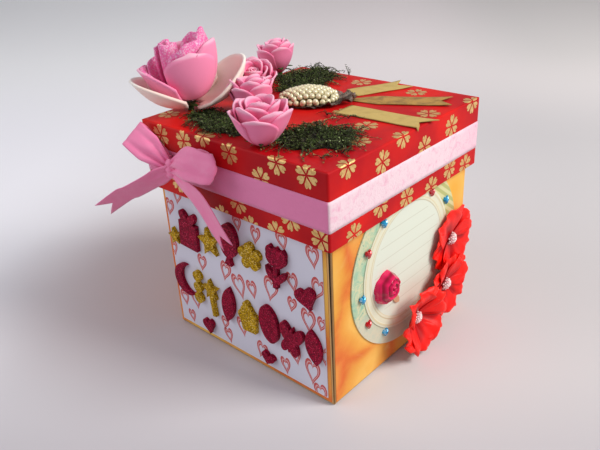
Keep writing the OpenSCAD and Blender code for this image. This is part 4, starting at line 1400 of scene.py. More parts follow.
@dataclass
class Bow:
    """The satin bow: two loops, two tails with V-cut ends and the wrapped knot."""

    x: float = -30.4
    y: float = -53.9
    z: float = 92.45
    puff: float = 6.0
    knot_radius: float = 3.8
    knot_height: float = 9.0
    thickness: float = 0.28
    clear_of_band: float = -54.25
    clear_of_wall: float = -53.75

    def at(self, points: np.ndarray) -> np.ndarray:
        """Moves points from the knot's frame to the box's frame."""
        return points + np.array([self.x, self.y, self.z])

    def keep_off(self, grid: Grid) -> Grid:
        """Keeps a grid clear of the band, and clear of the wall below the lid."""
        limit = np.where(grid[..., 2] < SKIRT_FOOT + 1, self.clear_of_wall, self.clear_of_band)
        grid[..., 1] = np.minimum(grid[..., 1], limit)
        return grid

    def loop(
        self, made: Moulder, tip: Sequence[float], side: Sequence[float], swell: float, rounding: float = 0.0,
        rise: float = 0.0,
    ) -> None:
        """Adds a loop that leaves the knot, turns at its tip and comes back.

        Args:
            made: Where it is added.
            tip: Middle of the fold at the loop's end, from the knot.
            side: Half width of the ribbon there, as a vector.
            swell: How far the ribbon's middle bulges.
            rounding: How much its upper edge falls away at the tip.
            rise: How far its middle part arches up.
        """
        columns = 19
        turns = np.radians(np.linspace(13, 347, 56))
        start, foot = np.array([0, -self.knot_radius + 0.4, 0.0]), np.array([0, 0, 2.9])
        tip, side = np.array(tip, float), np.array(side, float)
        away = unit(np.cross(tip - start, side)) * self.puff / 2
        v = np.linspace(-1, 1, columns)
        rows = []
        for a in turns:
            s = (1 - math.cos(a)) / 2
            middle = start * (1 - s) + tip * s + away * math.sin(a) * (0.85 + 0.35 * s)
            share = min(1.0, 2.0 * s)
            half = foot * (1 - share) + side * share
            out = unit(np.cross(side, tip - start)) * (1 if math.sin(a) < 0 else -1)
            pleat = 1.1 * (1 - share) ** 1.5 * np.cos(3 * np.pi * v + 0.5)
            fall = rounding * (0.35 if math.sin(a) > 0 else 1.2)
            narrow = 1 - fall * max(0.0, (s - 0.45) / 0.55) ** 1.6 * np.where(v > 0, 1.0, 0.35)
            middle = middle + rise * math.sin(math.pi * min(1.0, s / 0.9)) * unit(side)
            crown = swell * (1 - v**2) * math.sin(math.pi * min(1, 1.2 * s)) * abs(math.sin(a))
            crease = 0.35 * math.exp(-((s - 0.45) ** 2) / 0.04) * np.sin(2.2 * np.pi * v + 3 * s)
            low_fold = np.exp(-(((v + 0.3 + 0.3 * s) / 0.13) ** 2))
            high_fold = np.exp(-(((v - 0.45) / 0.12) ** 2))
            crease = crease - (0.9 - 0.6 * s) * (low_fold + 0.6 * high_fold)
            if rounding > 0:
                middle = middle + ((1 - v**2) * 3.2 - 1.8)[:, None] * s**5 * unit(tip - start)
            rows.append(middle + (v * narrow)[:, None] * half + (pleat + crown + crease)[:, None] * out)
        grid = self.keep_off(self.at(np.array(rows)))
        # The shade value runs from 0 at the knot to 1 at the tip; the satin paints shade where it is low
        along = (1 - np.cos(turns)) / 2
        made.sheet(grid, self.thickness, np.repeat(along[:, None], columns, axis=1))

    def tail(
        self, made: Moulder, middles: Sequence[Sequence[float]], sides: Sequence[Sequence[float]], notch: float,
    ) -> None:
        """Adds a hanging end with a V cut.

        Args:
            made: Where it is added.
            middles: Points of its middle line, from the knot.
            sides: Its half width at each of them, as vectors.
            notch: Depth of the V.
        """
        rows, columns = 46, 15
        line = curve_through(np.array(middles, float), 400)
        half = curve_through(np.array(sides, float), 400)
        step = np.linalg.norm(np.diff(line, axis=0), axis=1)
        along = np.concatenate([[0], np.cumsum(step)])
        out = np.array([0.0, -1.0, 0.0])
        grid = np.zeros((rows, columns, 3))
        for j, w in enumerate(np.linspace(-1, 1, columns)):
            reach = along[-1] - notch * (1 - abs(w))
            for i in range(rows):
                d = reach * i / (rows - 1)
                p = np.array([np.interp(d, along, line[:, k]) for k in range(3)])
                h = np.array([np.interp(d, along, half[:, k]) for k in range(3)])
                t = d / along[-1]
                pleat = 0.9 * max(0, 1 - 4 * t) * math.cos(2.5 * math.pi * w + 0.4)
                curl = 0.5 * math.sin(2.4 * math.pi * t) * (1 - w * w) + 0.4 * w * math.sin(3 * t)
                grid[i, j] = p + w * h + out * (pleat + curl)
        made.sheet(self.keep_off(self.at(grid)), self.thickness)

    def knot(self, made: Moulder) -> None:
        """Wraps a short pleated barrel around the crossing."""
        around, rows = 33, 13
        grid = np.zeros((around, rows, 3))
        for i, a in enumerate(np.radians(np.linspace(-8, 188, around))):
            for j, t in enumerate(np.linspace(-1, 1, rows)):
                r = self.knot_radius * (1 - 0.16 * abs(t) ** 3) + 0.3 * math.cos(3.2 * math.pi * t + 0.8 * math.sin(a))
                grid[i, j] = (r * math.cos(a) + 0.5 * t, -r * 1.35 * math.sin(a) - 0.9, t * self.knot_height / 2)
        made.sheet(self.keep_off(self.at(grid)), self.thickness)

    def build(self) -> None:
        """Makes the bow."""
        half = RIBBON_WIDTH / 2
        made = Moulder()
        self.loop(made, (-21.6, -6.6, 12.3), half * unit(np.array([1.85, 3.75, 3.85])), 0.6)
        self.loop(made, (31.6, -6.5, 8.2), 1.12 * half * unit(np.array([-0.12, 0.35, 0.93])), 2.9, 0.6, 1.6)
        left = half * unit(np.array([0.25, -0.8, 0.8]))
        first, second = half * 0.5 * unit(np.array([0, -0.35, 1])), half * 0.85 * unit(np.array([0.1, -0.6, 0.9]))
        self.tail(
            made,
            (
                (0, -4.0, -1.0), (-6, -6.4, -4.6), (-11.8, -8.1, -8.2), (-22.7, -11.1, -14.6), (-28, -12.6, -17.2),
                (-45, -14.8, -28.7),
            ),
            (first, second, left, left, left, left), 10,
        )
        right = half * unit(np.array([-0.77, 0.25, -0.57]))
        self.tail(
            made,
            (
                (0.5, -4.2, -0.5), (9.2, -6.4, -3.4), (18.3, -7.4, -7), (23.6, -6.9, -13), (27.4, -5.9, -20),
                (32.5, -4.6, -28.3),
            ),
            (right * 0.5, right * 0.8, right, right, right, right), 6.5,
        )
        self.knot(made)
        bow = made.build("satin_bow", "lid", (Look.RIBBON,), ("ribbon_bow",), "satin")


def on_lid(x: float, y: float, z: float, turn: float) -> Matrix:
    """A piece's own frame at a place on the lid, turned by so many degrees."""
    return Matrix.Translation((x, y, z)) @ Matrix.Rotation(math.radians(turn), 4, "Z")


@dataclass
class Banner:
    """A swallowtail strip of paper on the lid."""

    name: str
    x: float
    y: float
    turn: float
    long: float
    pinch: float
    look: Look
    slot: str
    curl: float = 1.2
    slant: float = 0.0
    edge_x: float = 53.9
    width: float = 12.2
    notch: float = 5.0

    def build(self) -> None:
        """Makes the strip with a lifted tail."""
        rows, columns = 26, 11
        place = on_lid(self.x, self.y, LID_TOP, self.turn)
        made = Moulder(place)
        grid = np.zeros((rows, columns, 3))
        shade = np.zeros((rows, columns))
        for j, w in enumerate(np.linspace(-1, 1, columns)):
            reach = self.long - self.notch * (1 - abs(w)) + self.slant * w
            for i in range(rows):
                t = i / (rows - 1)
                d = reach * t
                taper = 0.3 + 0.7 * min(1, d / self.pinch) if self.pinch else 1.0
                lift = self.curl * max(0, (d - 0.62 * self.long) / (0.38 * self.long)) ** 2
                bend = 0.18 * math.sin(5 * t + w) * math.sin(math.pi * t) + 0.15 * (1 - w * w)
                grid[i, j] = (d, w * self.width / 2 * taper, 0.25 + lift + max(0, bend))
                over = (place @ Vector(grid[i, j])).x - self.edge_x - (3.0 if w > 0 and self.slant else 0.0) * t
                if over > 0:
                    grid[i, j, 0] -= 0.6 * over
                    grid[i, j, 2] -= 1.1 * over
                shade[i, j] = max(abs(w) ** 3, t**6, 1 - 12 * t)
        made.sheet(grid, 0.3, shade)
        made.build(f"{self.name}_strip", "lid", (self.look,), (self.name,), self.slot)


@dataclass
class PearlBed:
    """The oval bed of pearls on its amber plate, with the mesh frill behind it."""

    x: float = -6.0
    y: float = 5.0
    long: float = 13.5
    deep: float = 9.5
    turn: float = 43.0
    plate_z: float = 109.65
    plate: float = 1.6
    pearl: float = 1.38
    rim_pearls: int = 26
    frill_x: float = -3.0
    frill_y: float = 8.0
    frill_z: float = 109.3
    frill_long: float = 18.0
    frill_deep: float = 12.5

    def pearls(self) -> None:
        """Sets pearls in close rows, a little uneven."""
        chance = random.Random(3)
        made = Moulder(on_lid(self.x, self.y, self.plate_z + self.plate + self.pearl, self.turn))
        pitch = 1.96 * self.pearl
        row = pitch * math.sin(math.pi / 3)
        for v in range(-5, 6):
            for u in range(-7, 8):
                px, py = pitch * (u + (abs(v) % 2) / 2), row * v
                inside = (px / (self.long - 0.4)) ** 2 + (py / (self.deep + 0.3)) ** 2
                if inside <= 1:
                    pearl = np.array([px, py, -1.2 + 4.1 * (1 - inside) ** 0.7])
                    pearl = pearl + [chance.uniform(-0.12, 0.12) for _ in range(3)]
                    made.ball(pearl, self.pearl * chance.uniform(0.95, 1.0), 14, 10)
        for k in range(self.rim_pearls):
            a = 2 * math.pi * (k + 0.5) / self.rim_pearls
            low = -1.4 + chance.uniform(-0.15, 0.15)
            rim = ((self.long - 0.9) * math.cos(a), (self.deep - 0.1) * math.sin(a), low)
            made.ball(rim, self.pearl * 0.97, 14, 10)
        made.build("pearl_cluster", "lid", (Look.PEARL,), ("pearls",), "pearl")
        dress("pearl_plate", Look.AMBER)

    def frill(self) -> None:
        """Crumples the mesh around the pearls, most on the far side."""
        made = Moulder(on_lid(self.frill_x, self.frill_y, self.frill_z, self.turn))
        around, rings = 181, 11
        grid = np.zeros((around, rings, 3))
        for i, a in enumerate(np.linspace(0, 2 * math.pi, around)):
            side = max(0.0, 0.8 * math.cos(a) - 0.3 * math.sin(a) + 0.1)
            for j, s in enumerate(np.linspace(0.3, 1, rings)):
                wave = math.sin(11 * a + 4 * s) + 0.6 * math.sin(25 * a - 9 * s) + 0.4 * math.sin(41 * a + 12 * s)
                edge = s * (0.93 + 0.04 * math.cos(10 * a) + 0.02 * math.sin(27 * a))
                up = 0.2 + side * max(0, s - 0.5) / 0.5 * (2.5 + 1.1 * wave) * (1.25 - 0.5 * s)
                up += 0.35 * max(0, s - 0.8) / 0.2 * (1 + wave)
                x, y = self.frill_long * edge * math.cos(a), self.frill_deep * edge * math.sin(a)
                grid[i, j] = (x, y, max(up, 0.12))
        made.sheet(grid, 0.15)
        frill = made.build("mesh_cloth_frill", "lid", (Look.MESH,), ("mesh_frill",), "mesh_cloth")

    def build(self) -> None:
        """Makes the whole sub-assembly."""
        self.pearls()
        self.frill()


@dataclass
class MossClump:
    """A clump of dry moss: a rough mound with many small leafy sprigs.

    Each stray is a wisp at a place of the lid, with its height and length; the high ones stand as sprigs.
    """

    name: str
    x: float
    y: float
    long: float
    deep: float
    turn: float
    sprigs: int = 620
    threads: int = 70
    reach: float = 1.15
    tall: float = 1.0
    edge: float = 53.2
    lowest: float = 0.1
    standing: float = 3.0
    seed: int = 1
    strays: tuple[tuple[float, float, float, float], ...] = ()

    def leaflet(self, made: Moulder, at: np.ndarray, side: np.ndarray, across: np.ndarray, shade: Shade) -> None:
        """Adds one leaflet of four corners.

        Args:
            made: Where it is added.
            at: Its foot.
            side: From its foot to its tip.
            across: Half its width, as a vector.
            shade: One shade, or one for each corner.
        """
        blade = np.array([at, at + side * 0.55 + across, at + side, at + side * 0.55 - across])
        blade[:, 2] = np.maximum(blade[:, 2], self.lowest)
        made.add(blade, [(0, 1, 2, 3)], shade)

    def sprig(self, made: Moulder, foot: np.ndarray, lean: np.ndarray, long: float, chance: random.Random) -> None:
        """Adds one stem with leaflets.

        Args:
            made: Where it is added.
            foot: Where it stands.
            lean: Its direction.
            long: Its length in millimetres.
            chance: The source of small differences.
        """
        count = 5
        line = [foot]
        way = lean.copy()
        for _ in range(count - 1):
            way = unit(way + np.array([chance.gauss(0, 0.25), chance.gauss(0, 0.25), chance.gauss(-0.05, 0.15)]))
            nxt = line[-1] + way * long / (count - 1)
            nxt[2] = max(nxt[2], 0.15)
            line.append(nxt)
        line = np.array(line)
        tone = chance.uniform(0, 0.35)
        # The shade values rise from the stem's foot to its tips, and the leaflets' with them: painted shade low in the
        # clump, painted light at the tips
        made.tube(line, np.linspace(0.16, 0.07, count), 3, np.linspace(0, 0.6, count) + tone)
        for k in range(1, count):
            for _ in range(2):
                a = chance.uniform(0, FULL_TURN)
                side = unit(np.array([math.cos(a), math.sin(a), chance.uniform(-0.1, 0.8)]))
                size = chance.uniform(0.45, 1.0)
                across = unit(np.cross(side, way) + 1e-6) * size * 0.28
                shade = np.array([0.2, 0.5, 0.8, 0.5]) * (0.5 + k / count * 0.5) + tone
                self.leaflet(made, line[k], side * size, across, shade)

    def thread(
        self, made: Moulder, foot: np.ndarray, turn: float, long: float, rise: float, chance: random.Random,
    ) -> None:
        """Adds one long curling stem with tiny leaflets on both sides.

        Args:
            made: Where it is added.
            foot: Where it starts.
            turn: Its first direction, in radians.
            long: Its length in millimetres.
            rise: How high its arch stands.
            chance: The source of small differences.
        """
        count = max(5, int(long / 0.8))
        bend = chance.uniform(-0.11, 0.11)
        tone = chance.uniform(0.0, 0.5)
        line, heading = [foot], turn
        for k in range(1, count):
            heading += bend + chance.gauss(0, 0.09)
            t = k / (count - 1)
            step = np.array([math.cos(heading), math.sin(heading), 0.0]) * long / (count - 1)
            nxt = line[-1] + step
            nxt[2] = 0.25 + rise * math.sin(math.pi * min(1, 0.25 + 0.75 * t)) + chance.uniform(0, 0.15)
            line.append(nxt)
        line = np.array(line)
        made.tube(line, np.linspace(0.19, 0.09, count), 3, 0.15 + 0.3 * tone)
        for at in line[1:]:
            for _ in range(3):
                a, b = chance.uniform(0, FULL_TURN), chance.uniform(-0.2, 0.9)
                side = np.array([math.cos(a), math.sin(a), b])
                size = chance.uniform(0.35, 0.85)
                across = unit(np.cross(side, np.array([0.1, 0.2, 1.0]))) * size * 0.34
                self.leaflet(made, at, side * size, across, chance.uniform(0.1, 0.7) + tone)

    def mound(self, made: Moulder) -> None:
        """Adds the low ragged bed under the sprigs."""
        around, rings = 60, 9
        rows = []
        for i in range(around + 1):
            a = 2 * math.pi * i / around
            line = []
            for j in range(rings):
                s = j / (rings - 1)
                ragged = 1 + 0.1 * math.sin(5 * a + self.seed) + 0.06 * math.sin(13 * a)
                bumpy = 0.7 + 0.3 * math.sin(7 * a + 9 * s) * math.sin(4 * a - 5 * s)
                up = 0.12 + 1.3 * (1 - s**2) * bumpy
                line.append((self.long * s * ragged * math.cos(a), self.deep * s * ragged * math.sin(a), up))
            rows.append(line)
        # Its low shade value paints the bed dark brown to near black, partly as shade under the sprigs
        made.sheet(np.array(rows) + 1e-6, 0.15, 0.05)

    def build(self) -> None:
        """Makes the mound, its sprigs, the threads and the strays around it."""
        chance = random.Random(self.seed)
        place = on_lid(self.x, self.y, LID_TOP, self.turn)
        made = Moulder(place)
        self.mound(made)
        for _ in range(self.sprigs):
            share = math.sqrt(chance.random())
            a = chance.uniform(0, 2 * math.pi)
            ragged = 1 + 0.14 * math.sin(5 * a + self.seed)
            x, y = self.long * share * math.cos(a) * ragged, self.deep * share * math.sin(a) * ragged
            foot = np.array([x, y, 0.5 + 0.9 * (1 - share**2)])
            out, off = math.cos(a) * 0.9 + chance.gauss(0, 0.6), math.sin(a) * 0.9 + chance.gauss(0, 0.6)
            lean = unit(np.array([out, off, chance.uniform(0.1, 0.8)]))
            self.sprig(made, foot, lean, chance.uniform(1.6, 3.6) * self.tall, chance)
        for _ in range(self.threads):
            a = chance.uniform(0, 2 * math.pi)
            share = chance.uniform(0.35, 0.95)
            foot = np.array([self.long * share * math.cos(a), self.deep * share * math.sin(a), 0.4])
            way = a + chance.gauss(0, 0.6)
            long = chance.uniform(0.3, 0.75) * self.long * self.reach
            self.thread(made, foot, way, long, chance.uniform(0.4, 2.6) * self.tall, chance)
        for x, y, up, long in self.strays:
            back = place.inverted() @ Vector((x, y, LID_TOP))
            foot = np.array([back.x, back.y, 0.2])
            for k in range(5):
                if up > self.standing:
                    lean = unit(np.array([chance.uniform(-0.35, 0.35), chance.uniform(-0.35, 0.35), 1.0]))
                    self.sprig(made, foot, lean, up * (1 - 0.15 * k), chance)
                else:
                    turn = chance.uniform(0, FULL_TURN)
                    self.thread(made, foot, turn, long * chance.uniform(0.7, 1.3), up, chance)
        made.trim(self.edge)
        made.build(f"{self.name}_sprigs", "lid", (Look.MOSS,), (self.name,), "moss", smooth=False)


@dataclass
class PetalRing:
    """One ring of cupped foam petals."""

    count: int
    radius: float
    height: float
    wrap: float
    start: float = 0.0
    half: float = 0.0
    dip: float = 0.16
    lip: float = 0.08
    lap: float = 0.07
    thickness: float = 0.6
    point: float = 0.0
    frill: float = 0.0
    directions: tuple[float, ...] = ()
    foot: float = 0.1
    power: float = 2.4
    cone: float = 0.0
    shift: tuple[float, float, float] = (0.0, 0.0, 0.0)

    def petals(self, chance: random.Random) -> list[tuple[Grid, Grid]]:
        """Shapes the petals.

        Args:
            chance: The source of small differences.

        Returns:
            Each petal's grid of points in the rose's own frame, with its shades.
        """
        made = []
        middles = self.directions or tuple(self.start + 360 * k / self.count for k in range(self.count))
        half = self.half or 180 / self.count * 1.28
        wrap = math.radians(self.wrap)
        rows, columns = 15, 17
        u = np.linspace(0, 1, rows)[:, None]
        v = np.linspace(-1, 1, columns)[None, :]
        for middle in middles:
            turn = middle + (chance.uniform(-5, 5) if not self.directions else 0)
            tall = 1.0 if self.directions else chance.uniform(0.94, 1.05)
            edge = 1 - self.dip * np.abs(v) ** self.power + self.point * np.exp(-((v / 0.16) ** 2))
            s = self.foot + (edge - self.foot) * u
            spread = half * (0.5 + 0.5 * np.sin(np.pi / 2 * np.minimum(1, u / 0.55)))
            a = np.radians(turn + spread * v)
            norm = math.sin(wrap) if wrap < math.pi / 2 else 1.0
            r = self.radius * (1 + self.lap * v + 0.03 * np.sin(2.4 * v + 3 * u + turn)) * np.sin(wrap * s) / norm
            x_share = np.maximum(s - self.foot, 0) / (1 - self.foot)
            cupped = (1 - np.cos(wrap * x_share)) / (1 - math.cos(wrap))
            z = self.height * tall * ((1 - self.cone) * cupped + self.cone * x_share)
            q = np.maximum(0, (s - 0.76) / 0.24) ** 2
            r = r + self.lip * self.radius * q * (1.0 - 0.4 * np.abs(v))
            z = z - 0.4 * self.lip * self.radius * q * (0.5 + np.abs(v))
            r = r + self.frill * np.sin(9 * v + turn) * u**3
            z = z + 0.6 * self.frill * np.sin(13 * v + 2 * turn) * u**3
            grid = np.stack([r * np.cos(a), r * np.sin(a), z + 0 * a], axis=-1) + np.array(self.shift)
            made.append((grid, np.broadcast_to(s, a.shape)))
        return made


@dataclass
class RoseSeat:
    """A rose's place on its knob, with the parts that every rose has."""

    name: str
    x: float
    y: float
    lean: float
    lean_to: float
    spin: float
    rise: float = 0.0
    knob: float = 2.0
    sepal_foam: float = 0.4
    clear_of_lid: float = 0.25
    seed: int = 1

    def frame_matrix(self, up: float = 0.0) -> Matrix:
        """The rose's own frame on its knob, as in the solids."""
        turn = lambda a, axis: Matrix.Rotation(math.radians(a), 4, axis)
        base = Matrix.Translation((self.x, self.y, LID_TOP + 0.4 * self.knob + self.rise))
        tilt = turn(self.lean_to, "Z") @ turn(self.lean, "Y") @ turn(self.spin - self.lean_to, "Z")
        return base @ tilt @ Matrix.Translation((0, 0, 0.85 * self.knob + up))

    def bud(self, made: Moulder, radius: float, height: float, turns: float = 2.5, thick: float = 0.5) -> None:
        """Rolls a strip of foam into a spiral.

        Args:
            made: Where it is added.
            radius: Its radius.
            height: Its height.
            turns: How often the strip goes round.
            thick: The foam's thickness.
        """
        steps, rows, foot = 90, 9, 0.8
        grid = np.zeros((steps, rows, 3))
        shade = np.broadcast_to(np.arange(rows) / (rows - 1), (steps, rows))
        for i in range(steps):
            t = i / (steps - 1)
            a = 2 * math.pi * turns * t
            away = radius * (0.1 + 0.9 * t**0.85)
            top = height * (1 - 0.1 * t + 0.012 * math.sin(3 * a))
            for j in range(rows):
                w = j / (rows - 1)
                r = away * (0.4 + 0.6 * math.sin(math.pi / 2 * min(1, w * 1.5))) * (1 - 0.14 * w**3)
                grid[i, j] = (r * math.cos(a), r * math.sin(a), foot + (top - foot) * w)
        made.sheet(grid, thick, shade)

    def lay(self, made: Moulder, rings: Sequence[PetalRing], chance: random.Random, rise: float) -> None:
        """Adds rings of petals, each a little higher than the one before it.

        Args:
            made: Where they are added.
            rings: The rings.
            chance: The source of small differences.
            rise: How much higher each ring sits.
        """
        for k, ring in enumerate(rings):
            for grid, shade in ring.petals(chance):
                made.sheet(grid + np.array([0, 0, rise * k]), ring.thickness, shade)


@dataclass
class Rose(RoseSeat):
    """A small foam rose: rings of petals around a rolled bud."""

    radius: float = 12.0
    height: float = 13.0
    foam: float = 0.7
    deep: float = 3.0

    def rings(self) -> tuple[PetalRing, ...]:
        """The rings of petals, from the outside in."""
        r, h = 0.87 * self.radius, self.height
        outer = {"power": 2.8, "point": 0.02, "thickness": self.foam, "shift": (0.0, 0.0, -self.deep)}
        inner = {"thickness": self.foam}
        return (
            PetalRing(5, r, 0.78 * h + self.deep, 92, 0, dip=0.24, lip=0.1, cone=0.6, **outer),
            PetalRing(5, 0.86 * r, 0.9 * h + self.deep, 90, 34, dip=0.2, lip=0.08, cone=0.5, **outer),
            PetalRing(4, 0.62 * r, 0.97 * h, 78, 10, dip=0.22, lip=0.1, foot=0.08, cone=0.35, **inner),
            PetalRing(3, 0.45 * r, 1.0 * h, 88, 50, dip=0.18, lip=0.06, foot=0.07, cone=0.3, **inner),
        )

    def build(self) -> None:
        """Makes the petals and the bud as two pieces."""
        made = Moulder(self.frame_matrix(self.sepal_foam + 0.35))
        self.lay(made, self.rings(), random.Random(self.seed), 0.28)
        made.keep_above(LID_TOP + self.clear_of_lid)
        made.build(f"{self.name}_foam_petals", "lid", (Look.ROSE,), (f"{self.name}_petals",), "rose_foam")
        heart = Moulder(self.frame_matrix(self.sepal_foam + 1.3))
        self.bud(heart, 0.27 * self.radius, 0.96 * self.height - 1.3, thick=0.55)
        heart.build(f"{self.name}_rolled_bud", "lid", (Look.ROSE,), (f"{self.name}_heart",), "rose_foam")


def single(radius: float, height: float, wrap: float, towards: float, **shape: object) -> PetalRing:
    """One large petal that opens in a direction of so many degrees."""
    return PetalRing(1, radius, height, wrap, directions=(towards,), **{"lap": 0.0, "thickness": 1.0, **shape})


@dataclass
class LargeRose(RoseSeat):
    """The large rose: three cream petals, a cup of pink ones and a frosted middle."""

    cream: tuple[PetalRing, ...] = (
        single(22, 15.5, 68, 238, half=80, dip=0.45, power=2.0, lip=0.05, thickness=1.2, shift=(0, 0, -0.6)),
        single(27, 17, 95, 60, half=78, dip=0.75, lip=0.02, thickness=1.2, shift=(2.3, -1.2, -0.8)),
        single(23, 15, 66, 152, half=66, dip=0.35, lip=0.04, thickness=1.1),
    )
    pink: tuple[PetalRing, ...] = (
        single(18, 18, 80, 240, half=66, dip=0.3, power=2.2, lip=0.09),
        single(13, 23.5, 100, 125, half=58, dip=0.12, power=3, lip=0.02, lap=0.05),
        single(15, 25, 100, 30, half=46, dip=0.16, power=2.6, lip=0.02, lap=0.04, shift=(0.3, 0.3, 0.4)),
        single(13.6, 21, 97, 335, half=56, dip=0.15, power=3, lip=0.02, point=0.03, shift=(1.4, 1.2, 0.3)),
    )
    frosted: tuple[PetalRing, ...] = (
        single(16.5, 17, 84, 232, half=56, dip=0.25, lip=0.06, frill=0.2, lap=0.07, thickness=0.9),
        single(14.5, 18.5, 88, 186, half=46, dip=0.25, lip=0.05, frill=0.15, lap=0.07, thickness=0.9),
        single(
            12, 26, 96, 352, half=50, dip=0.15, lip=0.03, frill=0.35, lap=0.07, thickness=0.9, shift=(0.8, 0.6, 0),
        ),
        single(
            10.5, 22.5, 92, 312, half=40, dip=0.2, lip=0.05, frill=0.3, lap=0.07, thickness=0.9, shift=(1.2, 0.4, 0),
        ),
        single(11, 26.5, 96, 100, half=44, dip=0.2, lip=0.03, frill=0.3, lap=0.07, thickness=0.9),
        single(
            11.5, 30.5, 98, 20, half=36, dip=0.3, power=2, lip=0.02, frill=0.4, lap=0.07, thickness=0.8,
            shift=(1.2, 1.0, 0),
        ),
    )
    bud_x: float = -3.6
    bud_y: float = -3.4

    def build(self) -> None:
        """Makes the cream, pink and frosted parts."""
        chance = random.Random(self.seed)
        for part, rings, look, up in (("cream", self.cream, Look.CREAM, 0.55), ("pink", self.pink, Look.PINK, 1.75)):
            made = Moulder(self.frame_matrix(self.sepal_foam + up))
            self.lay(made, rings, chance, 0.25)
            made.keep_above(LID_TOP + self.clear_of_lid)
            made.build(f"{self.name}_{part}_foam", "lid", (look,), (f"{self.name}_{part}_petals",), f"{part}_foam")
        frost = Moulder(self.frame_matrix(self.sepal_foam + 2.9))
        self.lay(frost, self.frosted, chance, 0.0)
        frost.transform = frost.transform @ np.array(Matrix.Translation((self.bud_x, self.bud_y, 0)))
        self.bud(frost, 6.0, 26.5, turns=1.6, thick=1.1)
        frost.build(f"{self.name}_frosted_foam", "lid", (Look.FROST,), (f"{self.name}_heart",), "glitter_foam")


@dataclass
class Calyxes:
    """The green knobs and sepals under all the roses."""

    roses: Sequence[RoseSeat]
    sepal: float = 7.5
    stalk: tuple[float, float, float] = (1.5, 1.3, 1.6)

    def build(self) -> None:
        """Makes one piece of all the knobs and sepals."""
        made = Moulder()
        chance = random.Random(9)
        for rose in self.roses:
            high = LID_TOP + 0.4 * rose.knob + rose.rise
            line = np.array([(rose.x, rose.y, z) for z in (LID_TOP + 0.02, (LID_TOP + high) / 2, high + 1.2)])
            made.tube(line, np.array(self.stalk), 12, 0.2)
            place = np.array(rose.frame_matrix(0.1))
            for k in range(5):
                a = math.radians(72 * k + chance.uniform(-12, 12))
                long = self.sepal * chance.uniform(0.8, 1.1)
                u = np.linspace(0, 1, 8)[:, None]
                v = np.linspace(-1, 1, 5)[None, :]
                wide = 1.5 * np.sin(np.pi * np.minimum(1, u * 0.9 + 0.12)) ** 0.8
                droop = 0.15 * u + (-0.9 if rose.rise else 0.0) * u**2 + 0.25 * v**2
                x = (0.6 + u * long) * math.cos(a) - v * wide * math.sin(a)
                y = (0.6 + u * long) * math.sin(a) + v * wide * math.cos(a)
                grid = np.stack([x, y, droop + 0 * x], axis=-1).reshape(-1, 3)
                world = grid @ place[:3, :3].T + place[:3, 3]
                world[:, 2] = np.maximum(world[:, 2], LID_TOP + 0.5)
                made.sheet(world.reshape(8, 5, 3), 0.3, np.broadcast_to(1 - np.abs(v), x.shape))
        made.build("green_sepals", "lid", (Look.SEPAL,), ("rose_calyxes",), "sepal_green")


